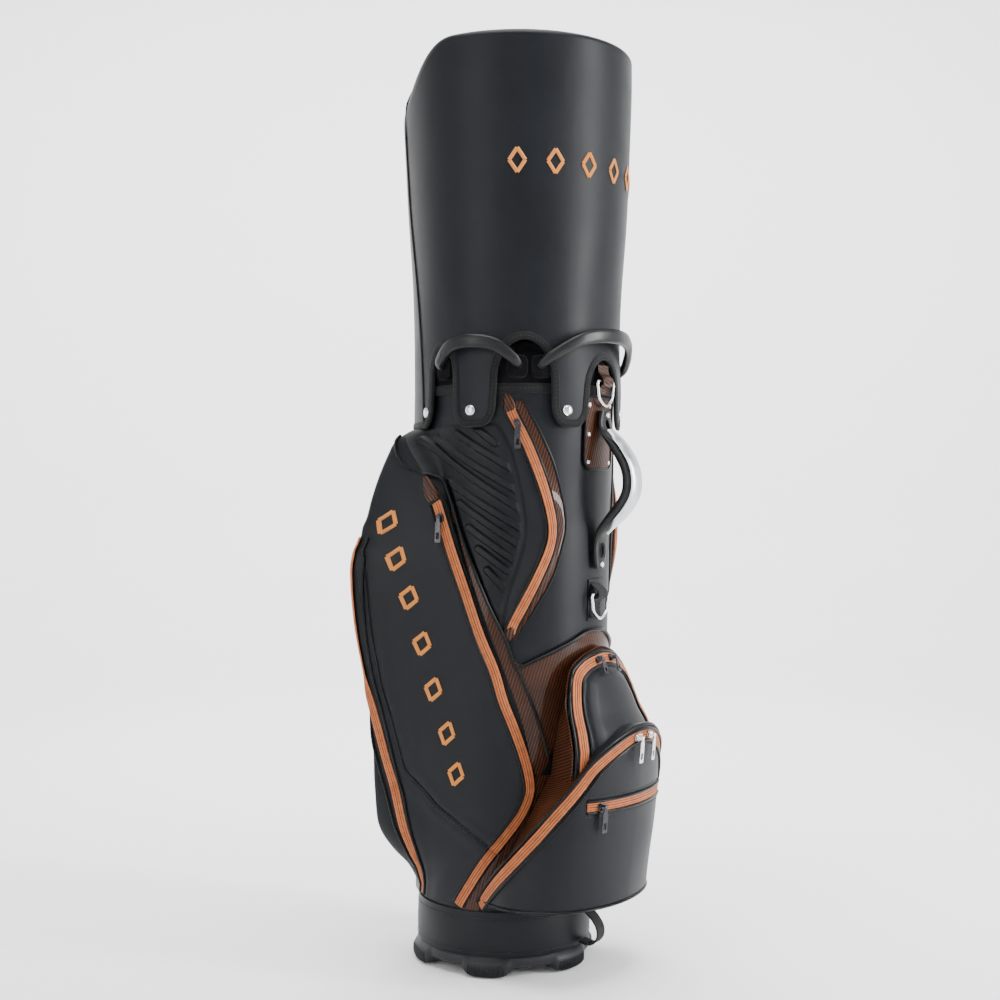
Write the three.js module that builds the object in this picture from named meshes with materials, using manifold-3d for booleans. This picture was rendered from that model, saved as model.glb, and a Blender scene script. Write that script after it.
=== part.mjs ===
// A golf staff bag with its rain hood on. Millimetres, +Z up. The front of the bag, with its ball pocket
// and carry handle, faces -Y, and the origin is on the ground under the middle of the base.
//
// The bag is laid out in bag coordinates: phi is the angle in degrees from the front round towards -X, r the
// distance from the tube's own axis, and z the height. The axis leans a little forward on its way up.
import * as THREE from "three";
import { mergeVertices } from "three/addons/utils/BufferGeometryUtils.js";
import Module from "manifold-3d";

const wasm = await Module();
wasm.setup();

// ---------------------------------------------------------------- driving dimensions
const TOTAL_HEIGHT = 1206;
const BASE_RADIUS = 114; // the band round the base
const TUBE_RADIUS = 130; // the tube from its middle up to the mouth
const LEAN = 24; // how far forward the mouth stands of the base
const MOUTH = 758; // height of the tube's upper rim
const CUFF_TOP = 816;
const BAND_TOP = 84;
const BAND_BOTTOM = 27;
const GAP = 0.9; // air between pieces that touch
const CORNER = 127; // phi of the side pocket's back corner
const REAR = 155; // phi where the side pocket comes back to the tube
const HOOD_FLAPS = 709; // height of the hood's flap ends

// ---------------------------------------------------------------- small mathematics
const { clamp, degToRad, lerp, smoothstep } = THREE.MathUtils;
const sind = (degrees) => Math.sin(degToRad(degrees));
const cosd = (degrees) => Math.cos(degToRad(degrees));

// Evenly spaced numbers from low to high.
const spread = (low, high, steps) =>
  Array.from({ length: steps + 1 }, (_, i) => lerp(low, high, i / steps));

// A smooth curve through [position, value] pairs, level beyond both ends.
function curve(...points) {
  const last = points.length - 1;
  const slope = points.map((_, i) => {
    const [before, after] = [points[Math.max(i - 1, 0)], points[Math.min(i + 1, last)]];
    return (after[1] - before[1]) / (after[0] - before[0]);
  });
  return (x) => {
    if (x <= points[0][0]) return points[0][1];
    if (x >= points[last][0]) return points[last][1];
    const i = points.findIndex(([position]) => position > x) - 1;
    const span = points[i + 1][0] - points[i][0];
    const t = (x - points[i][0]) / span;
    const ends = points[i][1] * (1 + 2 * t) * (1 - t) ** 2 + points[i + 1][1] * t * t * (3 - 2 * t);
    return ends + span * t * (1 - t) * (slope[i] * (1 - t) - slope[i + 1] * t);
  };
}

const axisY = (z) => -LEAN * clamp(z / MOUTH, 0, 1);

function at(phi, r, z) {
  return new THREE.Vector3(-r * sind(phi), axisY(z) - r * cosd(phi), z);
}

// ---------------------------------------------------------------- the bag's own surfaces
const tubeRadius = curve([27, 112], [90, BASE_RADIUS], [430, TUBE_RADIUS]);

// The side pocket: phi of its zipper's rear edge, and the radius of its back corner, by height.
const sideFront = curve(
  [92, 88], [150, 71], [196, 55], [230, 46], [255, 45.5], [280, 48], [326, 55.5], [359, 61.5],
  [399, 67], [447, 76], [497, 84], [554, 93], [614, 102.5], [650, 113], [692, 126], [732, 141],
);
const sideCorner = curve(
  [96, 112], [129, 132], [150, 153], [172, 170], [192, 178], [238, 182], [314, 190], [387, 203], [450, 217],
  [521, 225], [549, 221], [589, 205], [618, 197], [672, 178], [708, 158], [738, 136]
);
// Between its front edge and its back corner the pocket is flat, on a plane that touches the tube.
function sideFlat(phi, z) {
  const tube = tubeRadius(z);
  const corner = Math.max(sideCorner(z), tube + 1);
  const touch = CORNER - THREE.MathUtils.radToDeg(Math.acos(tube / corner));
  const face = phi < touch ? 1 / tube : cosd(phi - touch) / tube;
  const rear = (sind(REAR - phi) / corner + sind(phi - CORNER) / tube) / sind(REAR - CORNER);
  const rounding = 0.0003;
  return 2 / (face + rear + Math.hypot(face - rear, rounding));
}
const SIDE_PAD = 5; // the pocket stands this far proud of that plane
const sideRadius = (phi, z) => Math.max(sideFlat(phi, z), tubeRadius(z)) + SIDE_PAD;

// The ball pocket: its plan, its top edge and its wall.
const BALL_BOTTOM = 98;
const BALL_EDGE = 71;
const ballPlan = curve([0, 207], [30, 205], [42, 192], [50, 176], [56, 162], [62, 144], [BALL_EDGE, 119]);
const ballTop = curve(
  [0, 330], [6, 328], [12, 320], [18, 309], [24, 294], [29, 273], [36, 243], [43, 212], [49, 187], [55, 164],
  [64, 131], [BALL_EDGE, 106],
);
const BALL_TAPER = 0.07;
function ballRadius(phi, z) {
  const plan = ballPlan(Math.abs(phi));
  const taper = (BALL_TAPER * (300 - z) * (plan - 120)) / 85;
  return Math.max(plan - taper, tubeRadius(z) + 4);
}

// The garment pocket above it, a half-round wedge that deepens downwards.
const GARMENT_EDGE = 30;
const garmentRadius = curve(
  [300, 194], [322, 186], [342, 175], [362, 167], [383, 158], [403, 149], [430, 141],
);
const garmentTop = curve([0, 426], [10, 422], [19, 413], [24, 402], [28, 382], [30, 352]);

// The yoke: a stiff glossy panel round the front that climbs beside each side pocket.
const YOKE_EDGE = 90;
const yokeTop = curve([0, 446], [10, 443], [20, 433], [41, 412], [52, 408], [60, 442], [77, 525], [98, 635]);
const yokeLow = curve(
  [0, 337], [14, 332], [26, 308], [34, 270], [39.4, 268], [48, 334], [60, 406], [77, 505], [YOKE_EDGE, 588],
);
const YOKE_THICK = 2.6; // how far its face stands off the tube

// The hood: radius by height, the arches cut in its lower edge, and the rounding of its top edge.
const hoodRadius = curve([HOOD_FLAPS, 138.5], [888, 141], [1010, 149], [1150, 155], [TOTAL_HEIGHT, 155]);
const HOOD_CUTS = [
  { phi: 0, half: 14, foot: 752, top: 798 },
  { phi: 52, half: 15, foot: 768, top: 819 },
  { phi: 100, half: 8, foot: 772, top: 812 },
];
const CUT_SIDE = 0.6; // degrees over which the straight side of a cut leans
const TAB_CORNER = { phi: 6, height: 22 }; // the rounding at the foot of the tabs between the cuts
function hoodHem(phi) {
  const heights = HOOD_CUTS.map(({ phi: middle, half, foot, top }) => {
    const away = Math.abs(Math.abs(phi) - middle);
    if (away < half) return lerp(foot, top, Math.sqrt(1 - (away / half) ** 2));
    const past = clamp((away - half - CUT_SIDE) / TAB_CORNER.phi, 0, 1);
    const corner = HOOD_FLAPS + TAB_CORNER.height * (1 - Math.sqrt(1 - (1 - past) ** 2));
    return lerp(foot, corner, clamp((away - half) / CUT_SIDE, 0, 1));
  });
  return Math.max(...heights);
}
const hoodRounding = (phi) => lerp(8, 96, smoothstep(Math.abs(phi), 88, 135));

// ---------------------------------------------------------------- solids
// A closed mesh from points and triangles, turned so that its faces point out.
function closedGeometry(points, triangles) {
  let volume = 0;
  for (let i = 0; i < triangles.length; i += 3) {
    const [a, b, c] = triangles.slice(i, i + 3).map((k) => points[k]);
    volume += a.dot(b.clone().cross(c));
  }
  if (volume < 0) triangles.reverse();
  const geometry = new THREE.BufferGeometry().setFromPoints(points);
  return geometry.setIndex(triangles);
}

// A curved panel: outer and inner faces share one grid of columns and rows and are joined round the edge.
function panel(columns, rows, outer, inner) {
  const stride = columns + 1;
  const faceSize = stride * (rows + 1);
  const points = [];
  for (const face of [outer, inner])
    for (let j = 0; j <= rows; j++)
      for (let i = 0; i <= columns; i++) points.push(face(i / columns, j / rows));
  const triangles = [];
  const quad = (a, b, c, d) => triangles.push(a, b, c, a, c, d);
  const node = (side, i, j) => side * faceSize + j * stride + i;
  for (let j = 0; j < rows; j++)
    for (let i = 0; i < columns; i++) {
      quad(node(0, i, j), node(0, i + 1, j), node(0, i + 1, j + 1), node(0, i, j + 1));
      quad(node(1, i, j), node(1, i, j + 1), node(1, i + 1, j + 1), node(1, i + 1, j));
    }
  for (let i = 0; i < columns; i++) {
    quad(node(1, i, 0), node(1, i + 1, 0), node(0, i + 1, 0), node(0, i, 0));
    quad(node(0, i, rows), node(0, i + 1, rows), node(1, i + 1, rows), node(1, i, rows));
  }
  for (let j = 0; j < rows; j++) {
    quad(node(0, 0, j), node(0, 0, j + 1), node(1, 0, j + 1), node(1, 0, j));
    quad(node(1, columns, j), node(1, columns, j + 1), node(0, columns, j + 1), node(0, columns, j));
  }
  return closedGeometry(points, triangles);
}

// A solid through a row of equal sections, with flat ends or joined into a loop.
function loft(sections, looped = false) {
  const sides = sections[0].length;
  const count = sections.length;
  const triangles = [];
  for (let k = 0; k < (looped ? count : count - 1); k++)
    for (let i = 0; i < sides; i++) {
      const [a, b] = [k * sides + i, k * sides + ((i + 1) % sides)];
      const [c, d] = [((k + 1) % count) * sides + ((i + 1) % sides), ((k + 1) % count) * sides + i];
      triangles.push(a, b, c, a, c, d);
    }
  if (!looped)
    for (let i = 1; i < sides - 1; i++) {
      const end = (count - 1) * sides;
      triangles.push(0, i + 1, i, end, end + i, end + i + 1);
    }
  return closedGeometry(sections.flat(), triangles);
}

// An outline of [across, out] pairs carried along a path; "out" stays as near as it can to the given
// direction. The outline may be a function of the point it is drawn at.
function sweep(path, outward, outline, looped = false) {
  const count = path.length;
  const sections = path.map((p, i) => {
    const before = path[looped ? (i + count - 1) % count : Math.max(i - 1, 0)];
    const after = path[looped ? (i + 1) % count : Math.min(i + 1, count - 1)];
    const along = after.clone().sub(before).normalize();
    const out = outward(p).clone();
    out.addScaledVector(along, -out.dot(along)).normalize();
    const across = along.clone().cross(out);
    const section = typeof outline === "function" ? outline(p) : outline;
    return section.map(([a, o]) => p.clone().addScaledVector(across, a).addScaledVector(out, o));
  });
  return loft(sections, looped);
}

const awayFromAxis = (p) => new THREE.Vector3(p.x, p.y - axisY(p.z), 0).normalize();

function roundOutline(width, depth, corners = 8) {
  return Array.from({ length: corners }, (_, i) => {
    const turn = ((i + 0.5) / corners) * 2 * Math.PI;
    const swell = 1 / Math.cos(Math.PI / corners);
    return [(Math.cos(turn) * width * swell) / 2, (Math.sin(turn) * depth * swell) / 2];
  });
}

const boxOutline = (width, depth, low = 0) => [
  [-width / 2, low],
  [width / 2, low],
  [width / 2, low + depth],
  [-width / 2, low + depth],
];

// The smooth path through some points.
function smoothPath(points, steps, looped = false) {
  const path = new THREE.CatmullRomCurve3(points, looped, "centripetal").getPoints(steps);
  return looped ? path.slice(0, -1) : path;
}

// A solid of revolution about the tube's axis, leaning with it.
function turned(profile, segments = 48) {
  const geometry = new THREE.LatheGeometry(profile.map(([r, z]) => new THREE.Vector2(r, z)), segments);
  geometry.rotateX(Math.PI / 2);
  return leaning(geometry);
}

function leaning(geometry) {
  const position = geometry.attributes.position;
  for (let i = 0; i < position.count; i++) position.setY(i, position.getY(i) + axisY(position.getZ(i)));
  return geometry;
}

// ---------------------------------------------------------------- joins and cuts
function toManifold(geometry) {
  const bare = geometry.index ? geometry.clone() : geometry;
  bare.deleteAttribute("normal");
  bare.deleteAttribute("uv");
  const merged = mergeVertices(bare, 1e-3);
  const mesh = new wasm.Mesh({
    numProp: 3,
    vertProperties: merged.attributes.position.array,
    triVerts: new Uint32Array(merged.index.array),
  });
  return new wasm.Manifold(mesh);
}

function fromManifold(solid) {
  const mesh = solid.getMesh();
  const geometry = new THREE.BufferGeometry();
  geometry.setAttribute("position", new THREE.BufferAttribute(mesh.vertProperties, 3));
  return geometry.setIndex(new THREE.BufferAttribute(mesh.triVerts, 1));
}

const joined = (...geometries) =>
  fromManifold(geometries.map(toManifold).reduce((sum, next) => sum.add(next)));

const cutBy = (geometry, ...cutters) =>
  fromManifold(
    cutters.map(toManifold).reduce((rest, cutter) => rest.subtract(cutter), toManifold(geometry)),
  );

// ---------------------------------------------------------------- materials
const look = (color, roughness, metalness = 0) => ({ color, roughness, metalness });
const LEATHER = look(0x2e3136, 0.5);
const VELVET = look(0x101113, 0.95);
const RUBBER = look(0x1a1b1d, 0.6);
const TAPE = look(0xc87d58, 0.6);
const CARBON = look(0x4a2b1a, 0.15);
const SILVER = look(0xc9ccd0, 0.25, 1);
const GUNMETAL = look(0x55585d, 0.35, 1);
const WEBBING = look(0x1c1d20, 0.85);
const NYLON = look(0x25272a, 0.9);

const bag = new THREE.Group();

function add(name, geometry, finish) {
  const mesh = new THREE.Mesh(geometry, new THREE.MeshStandardMaterial(finish));
  mesh.name = name;
  bag.add(mesh);
  return mesh;
}

// ---------------------------------------------------------------- base
const TRAY_RADIUS = 108.5;
const PAD_RADIUS = 42;

function foot(phi) {
  const outline = new THREE.Shape();
  outline.moveTo(-28, -8);
  outline.lineTo(28, -8);
  outline.lineTo(24, 12);
  outline.quadraticCurveTo(0, 17, -24, 12);
  const block = new THREE.ExtrudeGeometry(outline, { depth: 24, bevelEnabled: false, curveSegments: 3 });
  block.translate(0, TRAY_RADIUS - 4, 0);
  block.rotateZ(degToRad(180 - phi));
  return block;
}

function baseTray() {
  const tray = turned([
    [0, 0], [PAD_RADIUS, 0], [PAD_RADIUS + 3, 9], [TRAY_RADIUS, 9], [TRAY_RADIUS, 26], [107.5, 26.5],
    [107.5, 62], [104, 62], [104, 14], [0, 14],
  ]);
  const feet = [6, 66, 126, 186, 246, 306].map(foot);
  return joined(tray, ...feet);
}
add("base_tray", baseTray(), RUBBER);

add("base_band", turned([
  [113.4, BAND_BOTTOM], [115.4, BAND_BOTTOM], [116.4, BAND_TOP], [114.6, BAND_TOP], [113.4, BAND_BOTTOM],
]), LEATHER);

function grabLoop() {
  const path = smoothPath([
    at(-6, 118.5, 76), at(-6, 132, 68), at(-6, 146, 54),
    at(-6, 146, 38), at(-6, 134, 30), at(-6, 118.5, 33),
  ], 14);
  return sweep(path, awayFromAxis, boxOutline(24, 2.4, -1.2));
}
add("base_grab_loop", grabLoop(), WEBBING);

// ---------------------------------------------------------------- tube, mouth and dividers
const WALL = 3;

function bodyTube() {
  const heights = [27.5, 90, 260, 430, MOUTH];
  const outer = heights.map((z) => [tubeRadius(z), z]);
  const inner = heights.map((z) => [tubeRadius(z) - WALL, z]).reverse();
  return turned([...outer, ...inner, outer[0]]);
}
add("body_tube", bodyTube(), LEATHER);

const CUFF_OUT = TUBE_RADIUS;
const CUFF_IN = 121;
add("cuff_ring", turned([
  [CUFF_IN, MOUTH + GAP], [CUFF_OUT, MOUTH + GAP], [CUFF_OUT + 1, 775], [CUFF_OUT, 806],
  [CUFF_OUT - 4, CUFF_TOP], [CUFF_IN + 2, CUFF_TOP], [CUFF_IN, 808], [CUFF_IN, MOUTH + GAP],
]), VELVET);

// Six full-length compartments: two columns of three, cut out of a disc.
const DIVIDER_ROW = 37; // half height of the middle row
function compartmentOutline(side, low, high, wall, reach) {
  const span = (y) => Math.sqrt(reach * reach - y * y);
  const points = [[wall / 2, low]];
  for (const y of spread(low, Math.min(high, reach * 0.99), 6)) points.push([span(y), y]);
  points.push([wall / 2, Math.min(high, reach * 0.99)]);
  return new THREE.Shape(points.map(([x, y]) => new THREE.Vector2(side * x, y)));
}

function divider(radius, wall, low, high) {
  const height = high - low;
  const disc = new THREE.Shape();
  disc.absarc(0, 0, radius, 0, 2 * Math.PI);
  const upright = (shape, extra) => {
    const depth = height + 2 * extra;
    const prism = new THREE.ExtrudeGeometry(shape, { depth, bevelEnabled: false, curveSegments: 20 });
    return prism.translate(0, 0, low - extra);
  };
  const reach = radius - wall;
  const row = DIVIDER_ROW - wall / 2;
  const cells = [];
  for (const side of [1, -1]) {
    cells.push(compartmentOutline(side, -row, row, wall, reach));
    const outer = compartmentOutline(side, row + wall, reach, wall, reach);
    cells.push(outer, new THREE.Shape(outer.getPoints().map((p) => new THREE.Vector2(p.x, -p.y))));
  }
  return leaning(cutBy(upright(disc, 0), ...cells.map((cell) => upright(cell, 5))));
}
add("divider_sleeves", divider(103, 2, 63, 757), NYLON);
add("divider_frame", divider(CUFF_IN - GAP, 8, 766, 806), VELVET);

// ---------------------------------------------------------------- cuff handles
// Each bows out of the cuff through one cut in the hood's edge and back in through the next.
const HANDLE_FOOT = 786;
const HANDLE_BAR = { wide: 11, tall: 14 };
function cuffHandle(name, middle, half, reach, rise) {
  // Shares of the half width, radii, and shares of the rise.
  const halfPath = [[-1, 132, 0], [-1, 141, 0.04], [-0.88, 147, 0.3], [-0.5, reach - 3, 0.84], [0, reach, 1]];
  const otherHalf = halfPath.slice(0, -1).map(([s, r, up]) => [-s, r, up]).reverse();
  const points = [...halfPath, ...otherHalf].map(([s, r, up]) =>
    at(middle + s * half, r, HANDLE_FOOT + up * rise),
  );
  const upward = () => new THREE.Vector3(0, 0, 1);
  add(name, sweep(smoothPath(points, 22), upward, roundOutline(HANDLE_BAR.wide, HANDLE_BAR.tall)), RUBBER);
}
cuffHandle("cuff_handle_front", 0, 42.5, 154, 40);
cuffHandle("cuff_handle_left", 78, 22.3, 156, 29);
cuffHandle("cuff_handle_right", -78, 22.3, 156, 29);

// ---------------------------------------------------------------- pockets
// A pocket's shell: columns of phi, and for each a list of [z, r] levels from its floor to its roof.
function pocketShell(columns, levelsAt, floor = GAP, thickness = 4) {
  const levels = columns.map(levelsAt);
  const rows = levels[0].length - 1;
  const middle = (list) => (list[0][0] + list[rows][0]) / 2;
  const outer = (u, v) => {
    const i = Math.round(u * (columns.length - 1));
    const [z, r] = levels[i][Math.round(v * rows)];
    return at(columns[i], r, z);
  };
  const inner = (u, v) => {
    const i = Math.round(u * (columns.length - 1));
    const [z, r] = levels[i][Math.round(v * rows)];
    const centre = middle(levels[i]);
    const shift = clamp((z - centre) / 4, -1, 1) * 2.5 * smoothstep(r - tubeRadius(z), 4, 14);
    const tucked = columns[i] * (i === 0 || i === columns.length - 1 ? 1 : 0.985);
    return at(tucked, Math.max(r - thickness, tubeRadius(z) + floor), z - shift);
  };
  return panel(columns.length - 1, rows, outer, inner);
}

// Columns on both sides of the front, mirrored.
const mirroredColumns = (half) => [...half.map((phi) => -phi).reverse(), ...half.filter((phi) => phi > 0)];

function ballLevels(phi) {
  const top = ballTop(Math.abs(phi)) - 2;
  const wall = (z) => ballRadius(phi, z);
  const rounding = Math.min(7, 0.3 * (top - BALL_BOTTOM));
  const heights = spread(BALL_BOTTOM + rounding, top - rounding, 4);
  const back = tubeRadius(top) + 4.5;
  return [
    [BALL_BOTTOM - 1, tubeRadius(BALL_BOTTOM) + 4], [BALL_BOTTOM, lerp(back, wall(BALL_BOTTOM), 0.92)],
    ...heights.map((z) => [z, wall(z)]),
    [top, lerp(back, wall(top), 0.94)], [top + 3, back],
  ];
}
const BALL_COLUMNS = mirroredColumns([0, 10, 20, 30, 37, 44, 50, 55, 60, 65, 69, BALL_EDGE]);
add("ball_pocket", pocketShell(BALL_COLUMNS, ballLevels), LEATHER);

function garmentLevels(phi) {
  const bottom = ballTop(Math.abs(phi)) + 6;
  const top = garmentTop(Math.abs(phi));
  const base = (z) => tubeRadius(z) + YOKE_THICK + 2.6;
  const wall = (z) => (Math.abs(phi) < GARMENT_EDGE ? garmentRadius(z) : base(z));
  const heights = spread(bottom + 2, top - 9, 4);
  return [
    [bottom, base(bottom)], ...heights.map((z) => [z, wall(z)]),
    [top - 2, lerp(base(top), wall(top), 0.7)], [top, base(top)],
  ];
}
const GARMENT_COLUMNS = mirroredColumns([0, 9, 17, 23, 27, 29, GARMENT_EDGE]);
add("garment_pocket", pocketShell(GARMENT_COLUMNS, garmentLevels, YOKE_THICK + GAP), LEATHER);

function yokePoint(lift) {
  return (u, v) => {
    const phi = lerp(-YOKE_EDGE, YOKE_EDGE, u);
    const away = Math.abs(phi);
    const z = lerp(yokeLow(away), yokeTop(away), v);
    return at(phi, tubeRadius(z) + lift, z);
  };
}
add("front_yoke", panel(34, 2, yokePoint(YOKE_THICK), yokePoint(GAP)), CARBON);

const EDGE_AHEAD = 5.4; // degrees from that line forward to the pocket's front edge
function sidePoint(side, lift) {
  return (u, v) => {
    const z = lerp(97, 705, v);
    const front = sideFront(z) - EDGE_AHEAD;
    const corner = Math.max(front + 1, CORNER - 2);
    const phi = u < 0.7 ? lerp(front, corner, u / 0.7) : lerp(corner, REAR + 3, (u - 0.7) / 0.3);
    const edge = Math.min(smoothstep(u, 0, 0.04), smoothstep(1 - u, 0, 0.08), smoothstep(v, 0, 0.03));
    const outside = Math.max(sideFlat(phi, z), tubeRadius(z)) + lerp(2, SIDE_PAD, edge);
    return at(side * phi, Math.max(outside - lift, tubeRadius(z) + 1.5 * GAP), z);
  };
}
const SIDES = [["left", 1], ["right", -1]];
for (const [hand, side] of SIDES) {
  const shell = panel(14, 14, sidePoint(side, 0), sidePoint(side, 4));
  add("side_pocket_" + hand, shell, LEATHER);
}

// The moulded rib panel on the tube above each side pocket.
const ribFront = curve([445, 62], [500, 57.5], [538, 52.5], [577, 49.5], [628, 53], [679, 59], [711, 66]);
const ribBack = curve(
  [445, 63.5], [479, 69.5], [525, 78], [566, 86.5], [610, 94], [640, 99.5], [680, 104], [711, 104],
);
function ribPoint(side, lift) {
  return (u, v) => {
    const z = lerp(468, 704, v);
    const phi = lerp(ribFront(z), ribBack(z) - 2.6, u);
    return at(side * phi, TUBE_RADIUS + lift, z);
  };
}
for (const [hand, side] of SIDES)
  add("rib_panel_" + hand, panel(8, 8, ribPoint(side, 4.5), ribPoint(side, GAP)), RUBBER);

// The carbon-look crescent that stands out beside each upper pocket's zipper.
const crescentEdge = curve(
  [430, 54.5], [471, 44], [513, 33.5], [553, 27.8], [590, 25.6], [652, 32.5], [693, 40.5], [742, 52.5],
);
const upperTrack = curve(
  [450, 56], [480, 49.5], [515, 42.5], [552, 36.5], [580, 35], [615, 38], [652, 43], [688, 49.7], [726, 58.5],
);
function crescentPoint(side, lift) {
  return (u, v) => {
    const z = lerp(452, 722, v);
    const phi = lerp(crescentEdge(z), upperTrack(z) - 4.2, u);
    const stand = 12 * smoothstep(z, 452, 560) * (1 - smoothstep(z, 600, 722)) * u * u;
    return at(side * phi, TUBE_RADIUS + (lift ? 1.5 + stand : GAP), z);
  };
}
for (const [hand, side] of SIDES)
  add(
    "upper_pocket_crescent_" + hand,
    panel(4, 10, crescentPoint(side, 1), crescentPoint(side, 0)),
    CARBON,
  );

// ---------------------------------------------------------------- zippers
const TAPE_THICK = 1.6;
const TAPE_WIDTH = 12;

// The frame of a surface r = radius(phi, z) at one place, along a heading given by a second place.
function surfaceFrame(radius, [phi, z], [nextPhi, nextZ]) {
  const here = at(phi, radius(phi, z), z);
  const step = 0.5;
  const aside = at(phi + step, radius(phi + step, z), z).sub(here);
  const above = at(phi, radius(phi, z + step), z + step).sub(here);
  const out = aside.cross(above).normalize();
  if (out.dot(awayFromAxis(here)) < 0) out.negate();
  const along = at(nextPhi, radius(nextPhi, nextZ), nextZ).sub(here);
  along.addScaledVector(out, -along.dot(out)).normalize();
  return { here, out, along, across: along.clone().cross(out) };
}

// A flat tape laid on a surface along a route of [phi, z] places.
function tape(radius, route, steps, lift = GAP, width = TAPE_WIDTH) {
  const phis = curve(...route.map(([phi], i) => [i, phi]));
  const heights = curve(...route.map(([, z], i) => [i, z]));
  const place = (t) => [phis(t), heights(t)];
  const last = route.length - 1;
  const sections = spread(0, last, steps).map((t) => {
    const early = Math.min(t, last - 0.05);
    const { here, out, across } = surfaceFrame(radius, place(early), place(early + 0.05));
    if (t > early) here.copy(at(place(t)[0], radius(...place(t)), place(t)[1]));
    const half = width / 2;
    const top = lift + TAPE_THICK;
    const section = [[-half, lift], [0, lift], [half, lift], [half, top], [0, top], [-half, top]];
    return section.map(([a, o]) => here.clone().addScaledVector(across, a).addScaledVector(out, o));
  });
  return loft(sections);
}

const mirrorRoute = (route, side) => route.map(([phi, z]) => [side * phi, z]);
const bothSides = (radius) => (phi, z) => radius(Math.abs(phi), z);

// Just inside each side pocket's front edge, from its top down and back to the base.
const SIDE_TRACK_HEIGHTS = [606, 554, 497, 447, 399, 359, 326, 290, 262, 240, 215, 190, 150, 112];
const TRACK_AHEAD = 2.2; // degrees from that line to the middle of the tape
const sideTrack = SIDE_TRACK_HEIGHTS.map((z) => [sideFront(z) - TRACK_AHEAD, z]);
const rearTrack = [
  [127, 560], [127, 518], [127, 450], [127, 387], [125.5, 344], [123.5, 298], [121.5, 264], [118.8, 225],
  [116.8, 190], [116, 160], [117, 136], [119, 112],
];
const REAR_TAPE_LIFT = 2.6; // clears the pocket's flat facets where the tape leaves the back corner
for (const [hand, side] of SIDES) {
  const radius = bothSides((phi, z) => sideRadius(phi, z) + 0.5);
  add("side_front_zipper_" + hand, tape(radius, mirrorRoute(sideTrack, side), 26), TAPE);
  const rearSkin = bothSides((phi, z) => sideRadius(phi, z) + REAR_TAPE_LIFT);
  add("side_rear_zipper_" + hand, tape(rearSkin, mirrorRoute(rearTrack, side), 26), TAPE);
  const route = [726, 688, 652, 615, 580, 552, 515, 480, 458].map((z) => [upperTrack(z), z]);
  const tubeSkin = bothSides((phi, z) => TUBE_RADIUS);
  add("upper_zipper_" + hand, tape(tubeSkin, mirrorRoute(route, side), 18), TAPE);
}

const ballSkin = (phi, z) => ballRadius(phi, z) + 0.4;
const BALL_TRACK = [0, 6, 12, 18, 24, 29, 36, 43, 49, 55, 61, 66];
const BALL_TRACK_DROP = 15; // the tape's middle lies this far below the pocket's top edge
const ballTrack = mirroredColumns(BALL_TRACK).map((phi) => [phi, ballTop(Math.abs(phi)) - BALL_TRACK_DROP]);
add("ball_zipper", tape(ballSkin, ballTrack, 44), TAPE);
const LOWER_TRACK = 233;
const lowerTrack = spread(-23, 23, 8).map((phi) => [phi, LOWER_TRACK]);
add("ball_lower_zipper", tape(ballSkin, lowerTrack, 14), TAPE);

const garmentSkin = (phi, z) => garmentRadius(z) + 0.8;
const garmentTrack = [
  [-26.2, 304], [-25.8, 335], [-25, 362], [-22, 388], [-15, 402], [-7, 408], [0, 410],
  [7, 408], [15, 402], [22, 388], [25, 362], [25.8, 335], [26.2, 304],
];
add("garment_zipper", tape(garmentSkin, garmentTrack, 30), TAPE);

// ---------------------------------------------------------------- sliders and their pull tabs
const SLIDER = { width: 9, length: 13, height: 4.2 };
const PULL = { width: 8, length: 32, thick: 1.8 };

// A slider sits on the tape; its tab hangs from a pin across its outer face. userData holds the pin's line.
function sliderAndPull(name, radius, place, heading, pullLength = PULL.length) {
  const { here, out, along, across } = surfaceFrame(radius, place, heading);
  const tapeTop = GAP + TAPE_THICK + GAP;
  const box = (centre, ahead, aside, size, low) => {
    const ends = [-0.5, 0.5].map((share) => centre.clone().addScaledVector(ahead, share * size.length));
    const outline = boxOutline(size.width, size.height ?? size.thick, low);
    const corner = (end, [a, o]) => end.clone().addScaledVector(aside, a).addScaledVector(out, o);
    return loft(ends.map((end) => outline.map((place) => corner(end, place))));
  };
  const body = add(name + "_slider", box(here, along, across, SLIDER, tapeTop), GUNMETAL);
  body.userData.travel = along;
  const down = new THREE.Vector3(0, 0, -1);
  down.addScaledVector(out, -down.dot(out)).normalize();
  const pinHeight = tapeTop + SLIDER.height + GAP;
  const tabCentre = here.clone().addScaledVector(down, pullLength / 2);
  const tabAcross = down.clone().cross(out);
  const size = { width: PULL.width, thick: PULL.thick, length: pullLength };
  const tab = add(name + "_pull", box(tabCentre, down, tabAcross, size, pinHeight), GUNMETAL);
  tab.userData.pin = here.clone().addScaledVector(out, pinHeight + PULL.thick / 2);
  tab.userData.axis = out.clone().cross(down).negate();
}

const nextOn = (track, i) => track[i + 1];
for (const [hand, side] of SIDES) {
  const sideSkin = bothSides((phi, z) => sideRadius(phi, z) + 0.5);
  const front = mirrorRoute(sideTrack, side);
  const sliderPlace = [side * (sideFront(592) - TRACK_AHEAD), 592];
  sliderAndPull("side_zipper_" + hand, sideSkin, sliderPlace, nextOn(front, 1));
  const start = [side * upperTrack(712), 712];
  sliderAndPull("upper_zipper_" + hand, () => TUBE_RADIUS, start, [side * upperTrack(690), 690]);
  const [near, far] = [4, 10].map((phi) => [side * phi, ballTop(phi) - BALL_TRACK_DROP]);
  sliderAndPull("ball_zipper_" + hand, ballSkin, near, far);
  const shoulder = [side * 6, 408.5];
  sliderAndPull("garment_zipper_" + hand, garmentSkin, shoulder, [side * 12, 405], 20);
}
sliderAndPull("ball_lower_zipper", ballSkin, [20, LOWER_TRACK], [14, LOWER_TRACK]);

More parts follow.
